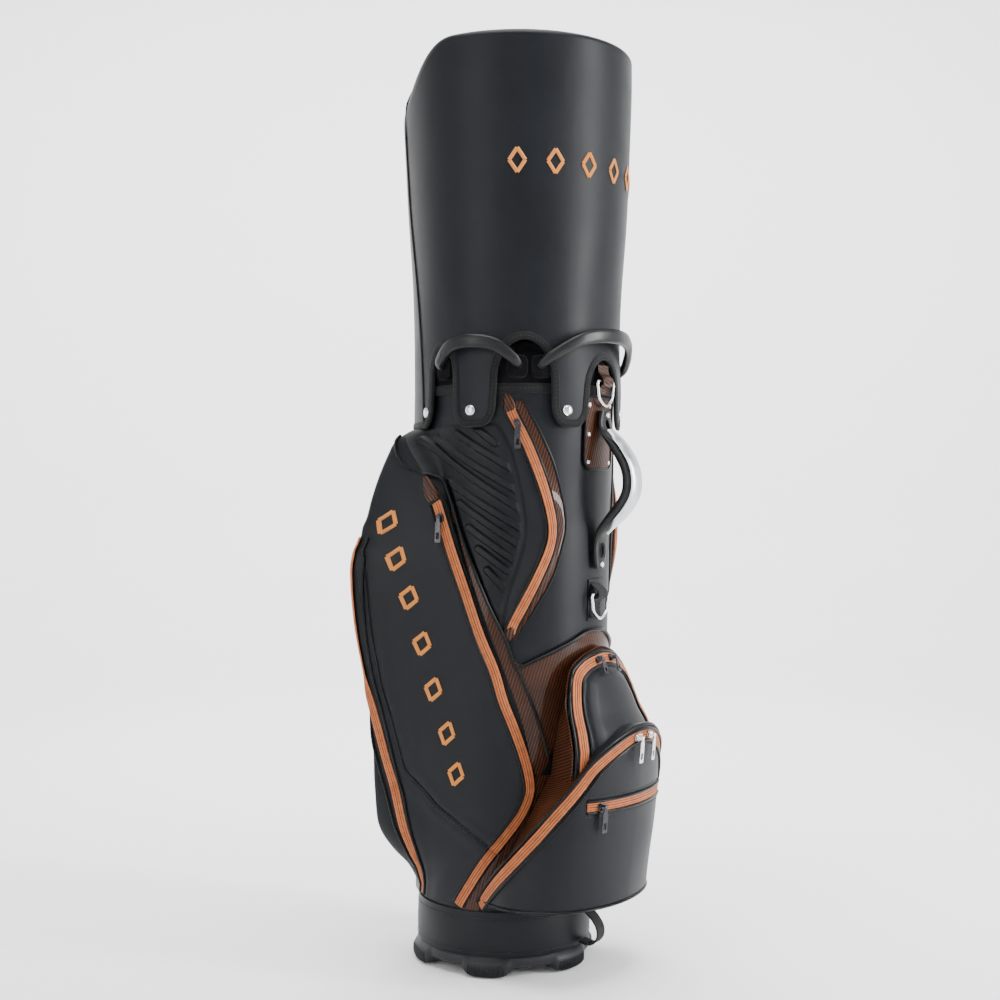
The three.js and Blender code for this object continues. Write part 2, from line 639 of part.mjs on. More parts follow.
// ---------------------------------------------------------------- carry handle and rings
function plate(halfPhi, low, high, lift, thick) {
  const point = (extra) => (u, v) =>
    at(lerp(-halfPhi, halfPhi, u), TUBE_RADIUS + lift + extra, lerp(low, high, v));
  return panel(6, 1, point(thick), point(0));
}
add("handle_plate", plate(14, 657, 746, GAP, 2), CARBON);

const HANDLE_PATH = [
  [731, 138.5], [715, 139], [702, 144], [688, 156], [672, 168], [656, 177], [640, 180.5], [624, 179],
  [608, 170], [590, 154], [576, 142.5], [563, 137.5], [540, 136.5], [526, 136.5],
].map(([z, r]) => at(0, r, z));
const gripWide = curve([526, 20], [549, 27], [600, 26], [680, 26], [712, 29], [731, 22]);
const gripDeep = curve([526, 8], [560, 8], [600, 15.5], [680, 15.5], [708, 8], [731, 8]);
const gripOutline = (p) => roundOutline(gripWide(p.z), gripDeep(p.z));
add("carry_handle_grip", sweep(smoothPath(HANDLE_PATH, 30), awayFromAxis, gripOutline), RUBBER);
// The silver strip on the grip's outer face.
const TRIM_PATH = HANDLE_PATH.slice(2, 11);
function trimOutline(p) {
  const low = gripDeep(p.z) / 2 + 1.5 * GAP;
  const half = 0.44 * gripWide(p.z);
  return [[-half, low], [half, low], [half - 1.5, low + 2.4], [1.5 - half, low + 2.4]];
}
add("carry_handle_trim", sweep(smoothPath(TRIM_PATH, 20), awayFromAxis, trimOutline), SILVER);

// A D-shaped ring hangs from a bar in a webbing tab.
const RING = { width: 36, height: 31, wire: 4.5 };
function dRing(name, barHeight, barRadius) {
  const bar = at(0, barRadius, barHeight);
  const half = RING.width / 2;
  const outline = [
    [-half, 0], [0, 0], [half, 0], [half, -12], [half * 0.8, -23], [0, -RING.height], [-half * 0.8, -23],
    [-half, -12],
  ];
  const points = outline.map(([x, z]) => new THREE.Vector3(bar.x + x, bar.y, bar.z + z));
  const corner = RING.wire;
  const rounded = smoothPath(points, 28, true);
  const wire = roundOutline(corner, corner, 6);
  const ring = add(name, sweep(rounded, () => new THREE.Vector3(0, -1, 0), wire, true), SILVER);
  ring.userData.pin = bar;
  ring.userData.axis = new THREE.Vector3(-1, 0, 0);
}
function ringTab(name, low, high, barHeight, barRadius, radius) {
  const width = 24;
  const strap = [
    at(0, radius, low), at(0, radius + 0.4, barHeight - 9), at(0, barRadius + 4, barHeight - 3),
    at(0, barRadius + 4.8, barHeight + 1), at(0, barRadius + 3, barHeight + 5),
    at(0, radius + 1, barHeight + 12), at(0, radius, high),
  ];
  add(name, sweep(smoothPath(strap, 16), awayFromAxis, boxOutline(width, 1.6, -0.8)), WEBBING);
}
dRing("strap_ring_upper", 768, 138.5);
dRing("strap_ring_lower", 492, 138.5);
ringTab("ring_tab_upper", 752, 790, 768, 138.5, 135);
ringTab("ring_tab_lower", 462, 506, 492, 138.5, 132);

// ---------------------------------------------------------------- hood
const HOOD_WALL = 3;
function hoodColumns() {
  const half = new Set([0, 180]);
  for (const cut of HOOD_CUTS) {
    const arch = [0, 0.5, 0.8, 0.95, 1].map((share) => share * cut.half);
    const corner = [0, 0.12, 0.4, 1].map((share) => cut.half + CUT_SIDE + share * TAB_CORNER.phi);
    for (const side of [-1, 1])
      for (const away of [...arch, ...corner]) half.add(Math.abs(cut.phi + side * away));
  }
  const fixed = [...half].sort((a, b) => a - b);
  const columns = [];
  fixed.slice(0, -1).forEach((phi, i) => {
    const steps = Math.ceil((fixed[i + 1] - phi) / 10);
    for (let k = 0; k < steps; k++) columns.push(lerp(phi, fixed[i + 1], k / steps));
  });
  return [...columns.map((phi) => -phi).reverse(), ...columns.slice(1), 180];
}

// One upright run of the hood's wall, hem to crown, drawn in by an inset.
function hoodRun(phi, inset) {
  const hem = hoodHem(phi);
  const corner = hoodRounding(phi);
  const shoulder = TOTAL_HEIGHT - corner;
  const run = spread(hem, shoulder, 4).map((z) => at(phi, hoodRadius(z) - inset, z));
  for (const turn of [30, 60, 90]) {
    const r = hoodRadius(shoulder) - corner + (corner - inset) * cosd(turn);
    run.push(at(phi, Math.max(r, 1), shoulder + (corner - inset) * sind(turn)));
  }
  return run;
}

function hoodShell() {
  const columns = hoodColumns();
  const outer = columns.map((phi) => hoodRun(phi, 0));
  const inner = columns.map((phi) => hoodRun(phi, HOOD_WALL));
  const rows = outer[0].length;
  const points = [...outer.flat(), ...inner.flat()];
  const count = columns.length;
  const innerStart = count * rows;
  const triangles = [];
  const quad = (a, b, c, d) => triangles.push(a, b, c, a, c, d);
  const crown = points.push(at(0, 0, TOTAL_HEIGHT)) - 1;
  const ceiling = points.push(at(0, 0, TOTAL_HEIGHT - HOOD_WALL)) - 1;
  for (let i = 0; i < count; i++) {
    const [a, b] = [i * rows, ((i + 1) % count) * rows];
    for (let j = 0; j < rows - 1; j++) {
      quad(a + j, b + j, b + j + 1, a + j + 1);
      quad(innerStart + a + j, innerStart + a + j + 1, innerStart + b + j + 1, innerStart + b + j);
    }
    quad(innerStart + a, innerStart + b, b, a);
    triangles.push(a + rows - 1, b + rows - 1, crown);
    triangles.push(innerStart + b + rows - 1, innerStart + a + rows - 1, ceiling);
  }
  return closedGeometry(points, triangles);
}
add("hood_shell", hoodShell(), LEATHER);

const SNAP_PHIS = [["front", 28], ["side", 81], ["back", 114]];
for (const [place, phi] of SNAP_PHIS)
  for (const [hand, side] of SIDES) {
    const cap = new THREE.CylinderGeometry(7, 7.6, 2, 14);
    cap.rotateZ(degToRad(180 - side * phi));
    const centre = at(side * phi, hoodRadius(729) + 2, 729);
    cap.translate(centre.x, centre.y, centre.z);
    add("hood_snap_" + place + "_" + hand, cap, SILVER);
  }

export default bag;
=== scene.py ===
"""A golf staff bag with its rain hood on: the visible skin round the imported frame.

Lengths are in millimetres and angles in degrees until at() turns a place into metres. A place on the bag is
(phi, r, z): phi goes from the front round towards -X, r is the distance from the leaning axis, z the height.
"""

import math

import bmesh
import bpy
import numpy as np
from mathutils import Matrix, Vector

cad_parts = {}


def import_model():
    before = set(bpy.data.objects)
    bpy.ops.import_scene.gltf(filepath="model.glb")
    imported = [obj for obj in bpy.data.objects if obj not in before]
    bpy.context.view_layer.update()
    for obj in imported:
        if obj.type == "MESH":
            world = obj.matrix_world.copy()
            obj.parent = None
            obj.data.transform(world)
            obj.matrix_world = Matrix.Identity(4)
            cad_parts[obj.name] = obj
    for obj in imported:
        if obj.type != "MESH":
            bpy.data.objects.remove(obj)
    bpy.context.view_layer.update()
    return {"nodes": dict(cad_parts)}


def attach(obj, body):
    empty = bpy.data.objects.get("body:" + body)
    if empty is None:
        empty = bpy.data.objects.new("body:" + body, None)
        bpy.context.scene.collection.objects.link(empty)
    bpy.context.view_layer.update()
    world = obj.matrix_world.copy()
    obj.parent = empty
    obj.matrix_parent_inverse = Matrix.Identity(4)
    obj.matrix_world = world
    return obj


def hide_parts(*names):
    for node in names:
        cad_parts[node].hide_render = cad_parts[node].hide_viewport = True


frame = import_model()
DETAIL = 1.0  # share of the full grid used while trying things

# ---------------------------------------------------------------- driving dimensions
TOTAL_HEIGHT = 1206
TUBE_RADIUS = 130
BASE_RADIUS = 114
LEAN = 24  # how far the axis comes forward on its way up to the mouth
MOUTH = 758
BAND_TOP = 84
BAND_BOTTOM = 27
PAD_RADIUS = 42  # the pad in the middle of the base
FEET = 6
FIRST_FOOT = 6  # phi of the middle of one foot
CORNER = 127  # phi of the side pocket's back corner
REAR = 155  # phi where the side pocket meets the tube again behind
HOOD_FLAPS = 709  # height of the lowest points of the hood's tabs
PIPING = 3.6  # diameter of the piping cord
BACK_SEAM = 176  # phi of the two seams down the tube's back
RIB_LOW, RIB_HIGH = 447, 709  # heights of the ribbed panels
SIDE_LOW, SIDE_HIGH = 92, 708  # heights of the side pockets
RING_RADIUS = 138.5  # from the axis to the D-rings' bars
UPPER_RING, LOWER_RING = 768, 492  # heights of the D-rings' bars
SNAP_HEIGHT = 729  # of the hood's six snaps
MM = 0.001
BAG = "bag"
SIDES = (("left", 1), ("right", -1))


# ---------------------------------------------------------------- small mathematics
def curve(*points):
    """A smooth curve through (position, value) pairs, level beyond both ends."""
    xs = np.array([p[0] for p in points], float)
    values = np.array([p[1] for p in points], float)
    count = len(points)
    before = np.maximum(np.arange(count) - 1, 0)
    after = np.minimum(np.arange(count) + 1, count - 1)
    slope = (values[after] - values[before]) / (xs[after] - xs[before])

    def value(x):
        x = np.clip(np.asarray(x, float), xs[0], xs[-1])
        i = np.clip(np.searchsorted(xs, x, side="right") - 1, 0, count - 2)
        span = xs[i + 1] - xs[i]
        t = (x - xs[i]) / span
        ends = values[i] * (1 + 2 * t) * (1 - t) ** 2 + values[i + 1] * t * t * (3 - 2 * t)
        return ends + span * t * (1 - t) * (slope[i] * (1 - t) - slope[i + 1] * t)

    return value


def ramp(x, low, high):
    """0 below low, 1 above high, smooth in between."""
    t = np.clip((np.asarray(x, float) - low) / (high - low), 0, 1)
    return t * t * (3 - 2 * t)


def lerp(a, b, t):
    """From a to b as t goes from 0 to 1."""
    return a + (b - a) * t


def hump(x, width):
    """1 where x is 0, fading on both sides over about the width."""
    return np.exp(-((x / width) ** 2))


def sind(angle):
    return np.sin(np.radians(angle))


def cosd(angle):
    return np.cos(np.radians(angle))


def axis_y(z):
    """Where the leaning axis is at some heights."""
    return -LEAN * np.clip(np.asarray(z, float) / MOUTH, 0, 1)


def at(phi, r, z):
    """The point, or points, in metres."""
    phi, r, z = np.broadcast_arrays(np.asarray(phi, float), r, z)
    return np.stack([-r * sind(phi), axis_y(z) - r * cosd(phi), z], -1) * MM


def unit(v):
    return v / np.maximum(np.linalg.norm(v, axis=-1, keepdims=True), 1e-12)


def radial(points):
    """The level direction away from the axis at some points."""
    out = points.copy()
    out[..., 1] -= axis_y(points[..., 2] / MM) * MM
    out[..., 2] = 0
    return unit(out)


def square_to(along, out):
    """Directions out made square to a path that runs along."""
    return unit(out - along * np.sum(out * along, -1, keepdims=True))


def run_length(path):
    """How far each point of a path is from its start, measured along it."""
    return np.concatenate([[0], np.cumsum(np.linalg.norm(np.diff(path, axis=0), axis=1))])


def along_path(t, gone, path):
    """The points, or directions, at some distances along a path."""
    return np.stack([np.interp(t, gone, path[:, k]) for k in range(3)], -1)


ARC = math.radians(TUBE_RADIUS)  # millimetres of arc in one degree of phi


def cloth_lay(phi, z, r):
    """Where points lie along the cloth, in metres: round it, up it and out from it."""
    return np.stack(np.broadcast_arrays(phi * ARC, z, r), -1) * MM


def distance(places, phi, z):
    """How far each (phi, z) is from a line of places, in millimetres along the skin."""
    line = np.array(places, float) * [ARC, 1]
    x, y = np.broadcast_arrays(np.asarray(phi, float) * ARC, np.asarray(z, float))
    best = np.full(x.shape, 1e9)
    for (ax, ay), (bx, by) in zip(line[:-1], line[1:]):
        dx, dy = bx - ax, by - ay
        t = np.clip(((x - ax) * dx + (y - ay) * dy) / (dx * dx + dy * dy), 0, 1)
        best = np.minimum(best, np.hypot(x - ax - t * dx, y - ay - t * dy))
    return best


def waves(phi, z, seed, length=120.0):
    """A slow random-looking unevenness between about -1 and 1."""
    a, b = np.asarray(phi, float) * ARC / length, np.asarray(z, float) / length
    total = 0
    for k in range(4):
        turn = seed * 1.7 + k * 2.4
        total = total + np.sin(6.28 * (a * math.cos(turn) + b * math.sin(turn)) * (0.6 + 0.35 * k) + seed + k)
    return total / 2.6


# ---------------------------------------------------------------- the bag's own surfaces
tube_radius = curve((27, 112), (90, BASE_RADIUS), (430, TUBE_RADIUS))
side_front = curve(
    (92, 88), (150, 71), (196, 55), (230, 46), (255, 45.5), (280, 48), (326, 55.5), (359, 61.5),
    (399, 67), (447, 76), (497, 84), (554, 93), (614, 102.5), (650, 113), (692, 126), (732, 141),
)
side_corner = curve(
    (96, 112), (129, 132), (150, 153), (172, 170), (192, 178), (238, 182), (314, 190), (387, 203), (450, 217),
    (521, 225), (549, 221), (589, 205), (618, 197), (672, 178), (708, 158), (738, 136),
)
EDGE_AHEAD = 5.4  # degrees from side_front forward to the pocket's front edge
TRACK_AHEAD = 2.2  # degrees from side_front to the middle of the front tape
SIDE_PAD = 5


def side_flat(phi, z):
    """The side pocket's face is flat between its front edge and its back corner."""
    tube = tube_radius(z)
    corner = np.maximum(side_corner(z), tube + 1)
    touch = CORNER - np.degrees(np.arccos(tube / corner))
    face = np.where(phi < touch, 1 / tube, cosd(phi - touch) / tube)
    rear = (sind(REAR - phi) / corner + sind(phi - CORNER) / tube) / sind(REAR - CORNER)
    return 2 / (face + rear + np.hypot(face - rear, 0.0003))  # the nearer of face and rear, softly joined


def side_skin(phi, z):
    """The side pocket's outside before its seams, never inside the tube's skin."""
    phi = np.abs(phi)
    return np.maximum(side_flat(phi, z), tube_radius(z)) + SIDE_PAD


BALL_BOTTOM = 98
BALL_EDGE = 71
ball_plan = curve((0, 207), (30, 205), (42, 192), (50, 176), (56, 162), (62, 144), (BALL_EDGE, 119))
ball_top = curve(
    (0, 330), (6, 328), (12, 320), (18, 309), (24, 294), (29, 273), (36, 243), (43, 212), (49, 187),
    (55, 164), (64, 131), (BALL_EDGE, 106),
)


def ball_skin(phi, z):
    """The ball pocket's wall before its seams; it draws in towards its foot."""
    plan = ball_plan(np.abs(phi))
    taper = 0.07 * (300 - z) * (plan - 120) / 85
    return np.maximum(plan - taper, tube_radius(z) + 4)


garment_radius = curve((300, 194), (322, 186), (342, 175), (362, 167), (383, 158), (403, 149), (430, 141))

YOKE_EDGE = 90
YOKE_THICK = 2.6
yoke_top = curve((0, 446), (10, 443), (20, 433), (41, 412), (52, 408), (60, 442), (77, 525), (98, 635))
yoke_low = curve(
    (0, 337), (14, 332), (26, 308), (34, 270), (39.4, 268), (48, 334), (60, 406), (77, 505), (90, 588)
)

# Edges and tracks given as phi by height
rib_front = curve((445, 62), (500, 57.5), (538, 52.5), (577, 49.5), (628, 53), (679, 59), (711, 66))
rib_back = curve(
    (445, 63.5), (479, 69.5), (525, 78), (566, 86.5), (610, 94), (640, 99.5), (680, 104), (711, 104)
)
crescent_edge = curve(
    (430, 54.5), (471, 44), (513, 33.5), (553, 27.8), (590, 25.6), (652, 32.5), (693, 40.5), (742, 52.5)
)
upper_track = curve(
    (450, 56), (480, 49.5), (515, 42.5), (552, 36.5), (580, 35), (615, 38), (652, 43), (688, 49.7),
    (726, 58.5),
)


def body_skin(phi, z):
    """The tube, swollen beside the upper pockets' zippers."""
    away = np.abs(phi)
    track, edge = upper_track(z), crescent_edge(z)
    height = 8 * ramp(z, 452, 560) * (1 - ramp(z, 592, 676))
    ahead = np.clip((away - edge) / np.maximum(track - edge, 0.5), 0, 1)
    swell = height * np.where(away < track, ahead**1.6, 1 - ramp(away - track, 1.5, 11))
    return tube_radius(z) + swell + 0.35 * waves(phi, z, 3, 200)


hood_radius = curve((HOOD_FLAPS, 138.5), (888, 141), (1010, 149), (1150, 155), (TOTAL_HEIGHT, 155))
HOOD_CUTS = ((0, 14, 752, 798), (52, 15, 768, 819), (100, 8, 772, 812))  # phi, half width, foot, top
CUT_SIDE = 0.6  # degrees over which a cut's straight side leans
TAB_WIDE, TAB_TALL = 8.0, 27.0  # the rounding at the foot of the tabs: degrees and millimetres


def hood_hem(phi):
    """Height of the hood's lower edge: tabs with rounded feet between arched cuts."""
    height = np.full(np.shape(phi), float(HOOD_FLAPS))
    for middle, half, foot, top in HOOD_CUTS:
        away = np.abs(np.abs(phi) - middle)
        arch = lerp(foot, top, np.sqrt(np.clip(1 - (away / half) ** 2, 0, 1)))
        past = np.clip((away - half - CUT_SIDE) / TAB_WIDE, 0, 1)
        corner = HOOD_FLAPS + TAB_TALL * (1 - np.sqrt(1 - (1 - past) ** 2))
        side = lerp(foot, corner, np.clip((away - half) / CUT_SIDE, 0, 1))
        height = np.maximum(height, np.where(away < half, arch, side))
    return height


def hood_corner(phi):
    """Rounding of the hood's top edge, small in front and large behind."""
    return lerp(8, 88, ramp(np.abs(phi), 88, 135))


def hood_skin(phi, z):
    """The hood's upright wall, with soft folds that run up from the cuts in its hem."""
    folds = 0
    for middle, half, _, _ in HOOD_CUTS:
        for side in (-1, 1):
            folds = folds + 1.7 * hump(phi - side * middle, half + 9) * hump(z - 850, 70.0)
    drape = 0.8 * waves(phi, z, 5, 330) * ramp(z, 730, 860)
    return hood_radius(z) - folds + drape


# ---------------------------------------------------------------- building meshes
class Shape:
    """Collects the points and faces of one piece. Each point also has a lay: its place along the cloth."""

    def __init__(self):
        self.points, self.faces, self.lay, self.count = [], [], [], 0

    def add(self, points, faces, lay=None):
        points = np.asarray(points, float).reshape(-1, 3)
        self.points.append(points)
        self.faces.extend([tuple(int(i) + self.count for i in face) for face in faces])
        if lay is None:
            lay = points
        lay = np.asarray(lay, float).reshape(len(points), -1)
        self.lay.append(np.hstack([lay, np.zeros((len(points), 3 - lay.shape[1]))]))
        self.count += len(points)

    def shell(self, outer, thickness, lay=None, wrap=False, out=None):
        """A sheet with a thickness: rows x columns of points, closed round its edges."""
        rows, columns = outer.shape[:2]
        if out is None:
            out = grid_normals(outer, wrap)
        inner = outer - out * thickness * MM
        points = np.concatenate([outer.reshape(-1, 3), inner.reshape(-1, 3)])
        size = rows * columns
        faces = []
        across = columns if wrap else columns - 1
        for j in range(rows - 1):
            for i in range(across):
                k = (i + 1) % columns
                a, b, c, d = j * columns + i, j * columns + k, (j + 1) * columns + k, (j + 1) * columns + i
                faces.append((a, b, c, d))
                faces.append((size + a, size + d, size + c, size + b))
        for i in range(across):
            k = (i + 1) % columns
            top = (rows - 1) * columns
            faces.append((size + i, size + k, k, i))
            faces.append((top + i, top + k, size + top + k, size + top + i))
        if not wrap:
            for j in range(rows - 1):
                a, b = j * columns, (j + 1) * columns
                faces.append((a, b, size + b, size + a))
                a, b = a + columns - 1, b + columns - 1
                faces.append((size + a, size + b, b, a))
        if lay is not None:
            lay = np.concatenate([lay.reshape(size, -1)] * 2)
        self.add(points, faces, lay)

    def sweep(self, path, out, outline, loop=False, size=None):
        """An outline of (across, out) pairs in millimetres carried along a path and scaled by size."""
        path = np.asarray(path, float)
        count = len(path)
        if loop:
            along = np.roll(path, -1, 0) - np.roll(path, 1, 0)
        else:
            along = np.gradient(path, axis=0)
        along = unit(along)
        out = square_to(along, out)
        across = np.cross(along, out)
        outline = np.asarray(outline, float)
        size = np.ones((count, 2)) if size is None else np.asarray(size, float)
        if size.ndim == 1:
            size = np.stack([size, size], -1)
        a = outline[None, :, 0] * size[:, None, 0]
        o = outline[None, :, 1] * size[:, None, 1]
        points = path[:, None] + (a[..., None] * across[:, None] + o[..., None] * out[:, None]) * MM
        sides = len(outline)
        gone = run_length(path)
        lay = np.stack(np.broadcast_arrays(gone[:, None], a * MM), -1)
        faces = []
        for k in range(count if loop else count - 1):
            here, there = k * sides, ((k + 1) % count) * sides
            for i in range(sides):
                j = (i + 1) % sides
                faces.append((here + i, here + j, there + j, there + i))
        if not loop:
            faces.append(tuple(range(sides))[::-1])
            faces.append(tuple(range((count - 1) * sides, count * sides)))
        self.add(points, faces, lay)

    def done(self, name, material, body=BAG, slot=None, replaces=(), sharp=35):
        mesh = bpy.data.meshes.new(name)
        points = np.concatenate(self.points)
        mesh.from_pydata(points.tolist(), [], self.faces)
        lay = mesh.attributes.new("lay", "FLOAT_VECTOR", "POINT")
        lay.data.foreach_set("vector", np.concatenate(self.lay).astype(np.float32).ravel())
        work = bmesh.new()
        work.from_mesh(mesh)
        bmesh.ops.recalc_face_normals(work, faces=work.faces)
        work.to_mesh(mesh)
        work.free()
        mesh.shade_smooth()
        mesh.set_sharp_from_angle(angle=math.radians(sharp))
        piece = bpy.data.objects.new(name, mesh)
        bpy.context.scene.collection.objects.link(piece)
        mesh.materials.append(material)
        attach(piece, body)
        if replaces:
            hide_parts(*replaces)
        return piece


def grid_normals(points, wrap=False):
    """Outward normals of a rows x columns grid of points."""
    if wrap:
        aside = np.roll(points, -1, 1) - np.roll(points, 1, 1)
    else:
        aside = np.gradient(points, axis=1)
    above = np.gradient(points, axis=0)
    out = unit(np.cross(aside, above))
    flip = np.sum(out * radial(points), -1).sum() < 0
    return -out if flip else out


def grid_of(surface, columns, rows, place):
    """Points of r = surface(phi, z) where place(u, v) gives phi and z, and the lay along the cloth."""
    columns, rows = max(int(columns * DETAIL), 3), max(int(rows * DETAIL), 3)
    u, v = np.meshgrid(np.linspace(0, 1, columns + 1), np.linspace(0, 1, rows + 1))
    phi, z = place(u, v)
    phi, z = np.broadcast_arrays(phi, z)
    r = surface(phi, z)
    return at(phi, r, z), cloth_lay(phi, z, r)


def ring_faces(rows, columns, closed=False):
    """Faces between rows of points that go right round; closed joins the last row to the first."""
    faces = []
    for j in range(rows if closed else rows - 1):
        for i in range(columns):
            k, n = (i + 1) % columns, (j + 1) % rows
            faces.append((j * columns + i, j * columns + k, n * columns + k, n * columns + i))
    return faces


def sheet(name, surface, size, place, thickness, material, slot, **kind):
    """One piece made of a sheet on r = surface(phi, z), over a grid of columns and rows."""
    points, lay = grid_of(surface, *size, place)
    shape = Shape()
    shape.shell(points, thickness, lay)
    return shape.done(name, material, slot=slot, **kind)


def on_surface(surface, phi, z, lift=0.0):
    """Points on r = surface(phi, z), lifted off it, and its outward normals there."""
    step = 0.4
    here = at(phi, surface(phi, z), z)
    aside = at(phi + step, surface(phi + step, z), z) - at(phi - step, surface(phi - step, z), z)
    above = at(phi, surface(phi, z + step), z + step) - at(phi, surface(phi, z - step), z - step)
    out = unit(np.cross(aside, above))
    out = np.where(np.sum(out * radial(here), -1, keepdims=True) < 0, -out, out)
    return here + out * lift * MM, out


def along_route(places, spacing=3.0, surface=None):
    """Evenly spaced (phi, z) along a smooth line through some places."""
    steps = list(range(len(places)))
    phis = curve(*zip(steps, [p[0] for p in places]))
    heights = curve(*zip(steps, [p[1] for p in places]))
    t = np.linspace(0, steps[-1], 40 * len(places))
    phi, z = phis(t), heights(t)
    if surface is None:
        dx, dy = np.diff(phi) * ARC, np.diff(z)
        lengths = np.hypot(dx, dy)
    else:
        lengths = np.linalg.norm(np.diff(at(phi, surface(phi, z), z), axis=0), axis=1) / MM
    gone = np.concatenate([[0], np.cumsum(lengths)])
    even = np.linspace(0, gone[-1], max(int(gone[-1] / spacing), 2) + 1)
    return np.interp(even, gone, phi), np.interp(even, gone, z)


def mirrored(places, side):
    return [(side * phi, z) for phi, z in places]


def both_ways(half):
    """A whole line of places, left to right, from its left half given from the middle outwards."""
    left = [(phi, z) for phi, z in half if phi > 0][::-1]
    return left + [(0, half[0][1])] + [(-phi, z) for phi, z in half if phi > 0]


def shifted(phi, z, aside):
    """The same line moved sideways along the skin, in millimetres."""
    x = phi * ARC
    dx, dz = np.gradient(x), np.gradient(z)
    length = np.hypot(dx, dz)
    return (x - aside * dz / length) / ARC, z + aside * dx / length


def smooth_path(points, spacing=2.0, loop=False):
    """Evenly spaced points, in metres, along a smooth line through points in metres."""
    points = np.asarray(points, float)
    if loop:
        points = np.concatenate([points[-2:], points, points[:3]])
    steps = list(range(len(points)))
    tracks = [curve(*zip(steps, points[:, k])) for k in range(3)]
    low, high = (2, len(points) - 3) if loop else (0, len(points) - 1)
    t = np.linspace(low, high, 60 * (high - low))
    fine = np.stack([track(t) for track in tracks], -1)
    gone = run_length(fine)
    even = np.linspace(0, gone[-1], max(int(gone[-1] / MM / spacing), 3) + 1)
    if loop:
        even = even[:-1]
    return along_path(even, gone, fine)


def round_outline(width, depth, sides=12, power=2.0):
    """A round, or with a higher power squarer, closed outline."""
    turn = (np.arange(sides) + 0.5) / sides * 2 * math.pi
    c, s = np.cos(turn), np.sin(turn)
    return np.stack(
        [
            np.sign(c) * np.abs(c) ** (2 / power) * width / 2,
            np.sign(s) * np.abs(s) ** (2 / power) * depth / 2,
        ],
        -1,
    )


def stitches(shape, path, out, length=3.4, gap=1.7, thick=0.9, lift=0.25):
    """A row of short raised threads along a path in metres."""
    gone = run_length(path) / MM
    starts = np.arange(1.0, gone[-1] - length, length + gap)
    profile = np.array([0.25, 0.95, 1.0, 0.95, 0.25])
    along = np.array([0.0, 0.12, 0.5, 0.88, 1.0])
    for start in starts:
        t = start + along * length
        points = along_path(t, gone, path)
        normals = unit(along_path(t, gone, out))
        points = points + normals * (lift - 0.3 * (1 - profile))[:, None] * MM
        shape.sweep(points, normals, round_outline(thick, thick * 0.8, 6), size=profile)


def edge_stitches(name, path, reach, lift):
    """Rows of stitches along both edges of a strap that reaches that far each side of its path."""
    along = unit(np.gradient(path, axis=0))
    out = square_to(along, radial(path))
    across = np.cross(along, out)
    threads = Shape()
    for aside in (-reach, reach):
        stitches(threads, path + (across * aside + out * lift) * MM, out, 3.0, 1.8, 0.7, 0.1)
    threads.done(name, BLACK_THREAD, slot="webbing")


# ---------------------------------------------------------------- materials
class Shader:
    """A material under construction: a Principled surface and the nodes that feed it."""

    def __init__(self, name, color, roughness, **values):
        self.material = bpy.data.materials.new(name)
        self.material.use_nodes = True
        self.tree = self.material.node_tree
        self.surface = self.tree.nodes["Principled BSDF"]
        self.surface.inputs["Base Color"].default_value = (*color, 1)
        self.surface.inputs["Roughness"].default_value = roughness
        for key, value in values.items():
            self.surface.inputs[key.replace("_", " ")].default_value = value
        self.bumps = None

    def node(self, kind, result=0, settings=None, **inputs):
        node = self.tree.nodes.new("ShaderNode" + kind)
        for key, value in (settings or {}).items():
            setattr(node, key, value)
        for key, value in inputs.items():
            socket = node.inputs[int(key[1:])] if key[1:].isdigit() else node.inputs[key.replace("_", " ")]
            self.feed(socket, value)
        return node.outputs[result]

    def feed(self, socket, value):
        if isinstance(value, bpy.types.NodeSocket):
            self.tree.links.new(value, socket)
        else:
            socket.default_value = value

    def place(self):
        """Places in metres on the piece itself."""
        return self.node("TexCoord", result="Object")

    def lay(self):
        """Places along the cloth: distance along it and across it."""
        return self.node("Attribute", result="Vector", settings={"attribute_name": "lay"})

    def split(self, vector):
        node = self.tree.nodes.new("ShaderNodeSeparateXYZ")
        self.tree.links.new(vector, node.inputs[0])
        return node.outputs[0], node.outputs[1], node.outputs[2]

    def math(self, operation, a, b=0.0, c=0.0):
        return self.node("Math", settings={"operation": operation}, i0=a, i1=b, i2=c)

    def span(self, value, low, high, to_low=0.0, to_high=1.0):
        return self.node(
            "MapRange", Value=value, From_Min=low, From_Max=high, To_Min=to_low, To_Max=to_high
        )

    def mix(self, share, a, b):
        node = self.tree.nodes.new("ShaderNodeMix")
        node.data_type = "RGBA"
        self.feed(node.inputs[0], share)
        for socket, color in ((node.inputs[6], a), (node.inputs[7], b)):
            self.feed(socket, (*color, 1) if isinstance(color, tuple) else color)
        return node.outputs[2]

    def bump(self, height, strength, depth):
        """Adds a relief: depth is its height in metres."""
        inputs = {"Height": height, "Strength": strength, "Distance": depth}
        if self.bumps is not None:
            inputs["Normal"] = self.bumps
        self.bumps = self.node("Bump", **inputs)
        self.feed(self.surface.inputs["Normal"], self.bumps)

    def noise(self, scale, detail):
        """An irregular value fixed to the piece."""
        return self.node("TexNoise", Vector=self.place(), Scale=scale, Detail=detail)

    def ribs(self, value, pitch):
        """A wave between -1 and 1 that repeats every pitch metres."""
        return self.math("SINE", self.math("MULTIPLY", value, 2 * math.pi / pitch))

    def color(self, value):
        self.feed(self.surface.inputs["Base Color"], value)

    def rough(self, value):
        self.feed(self.surface.inputs["Roughness"], value)


def shade(color, share):
    """A color made darker or lighter."""
    return tuple(c * share for c in color)


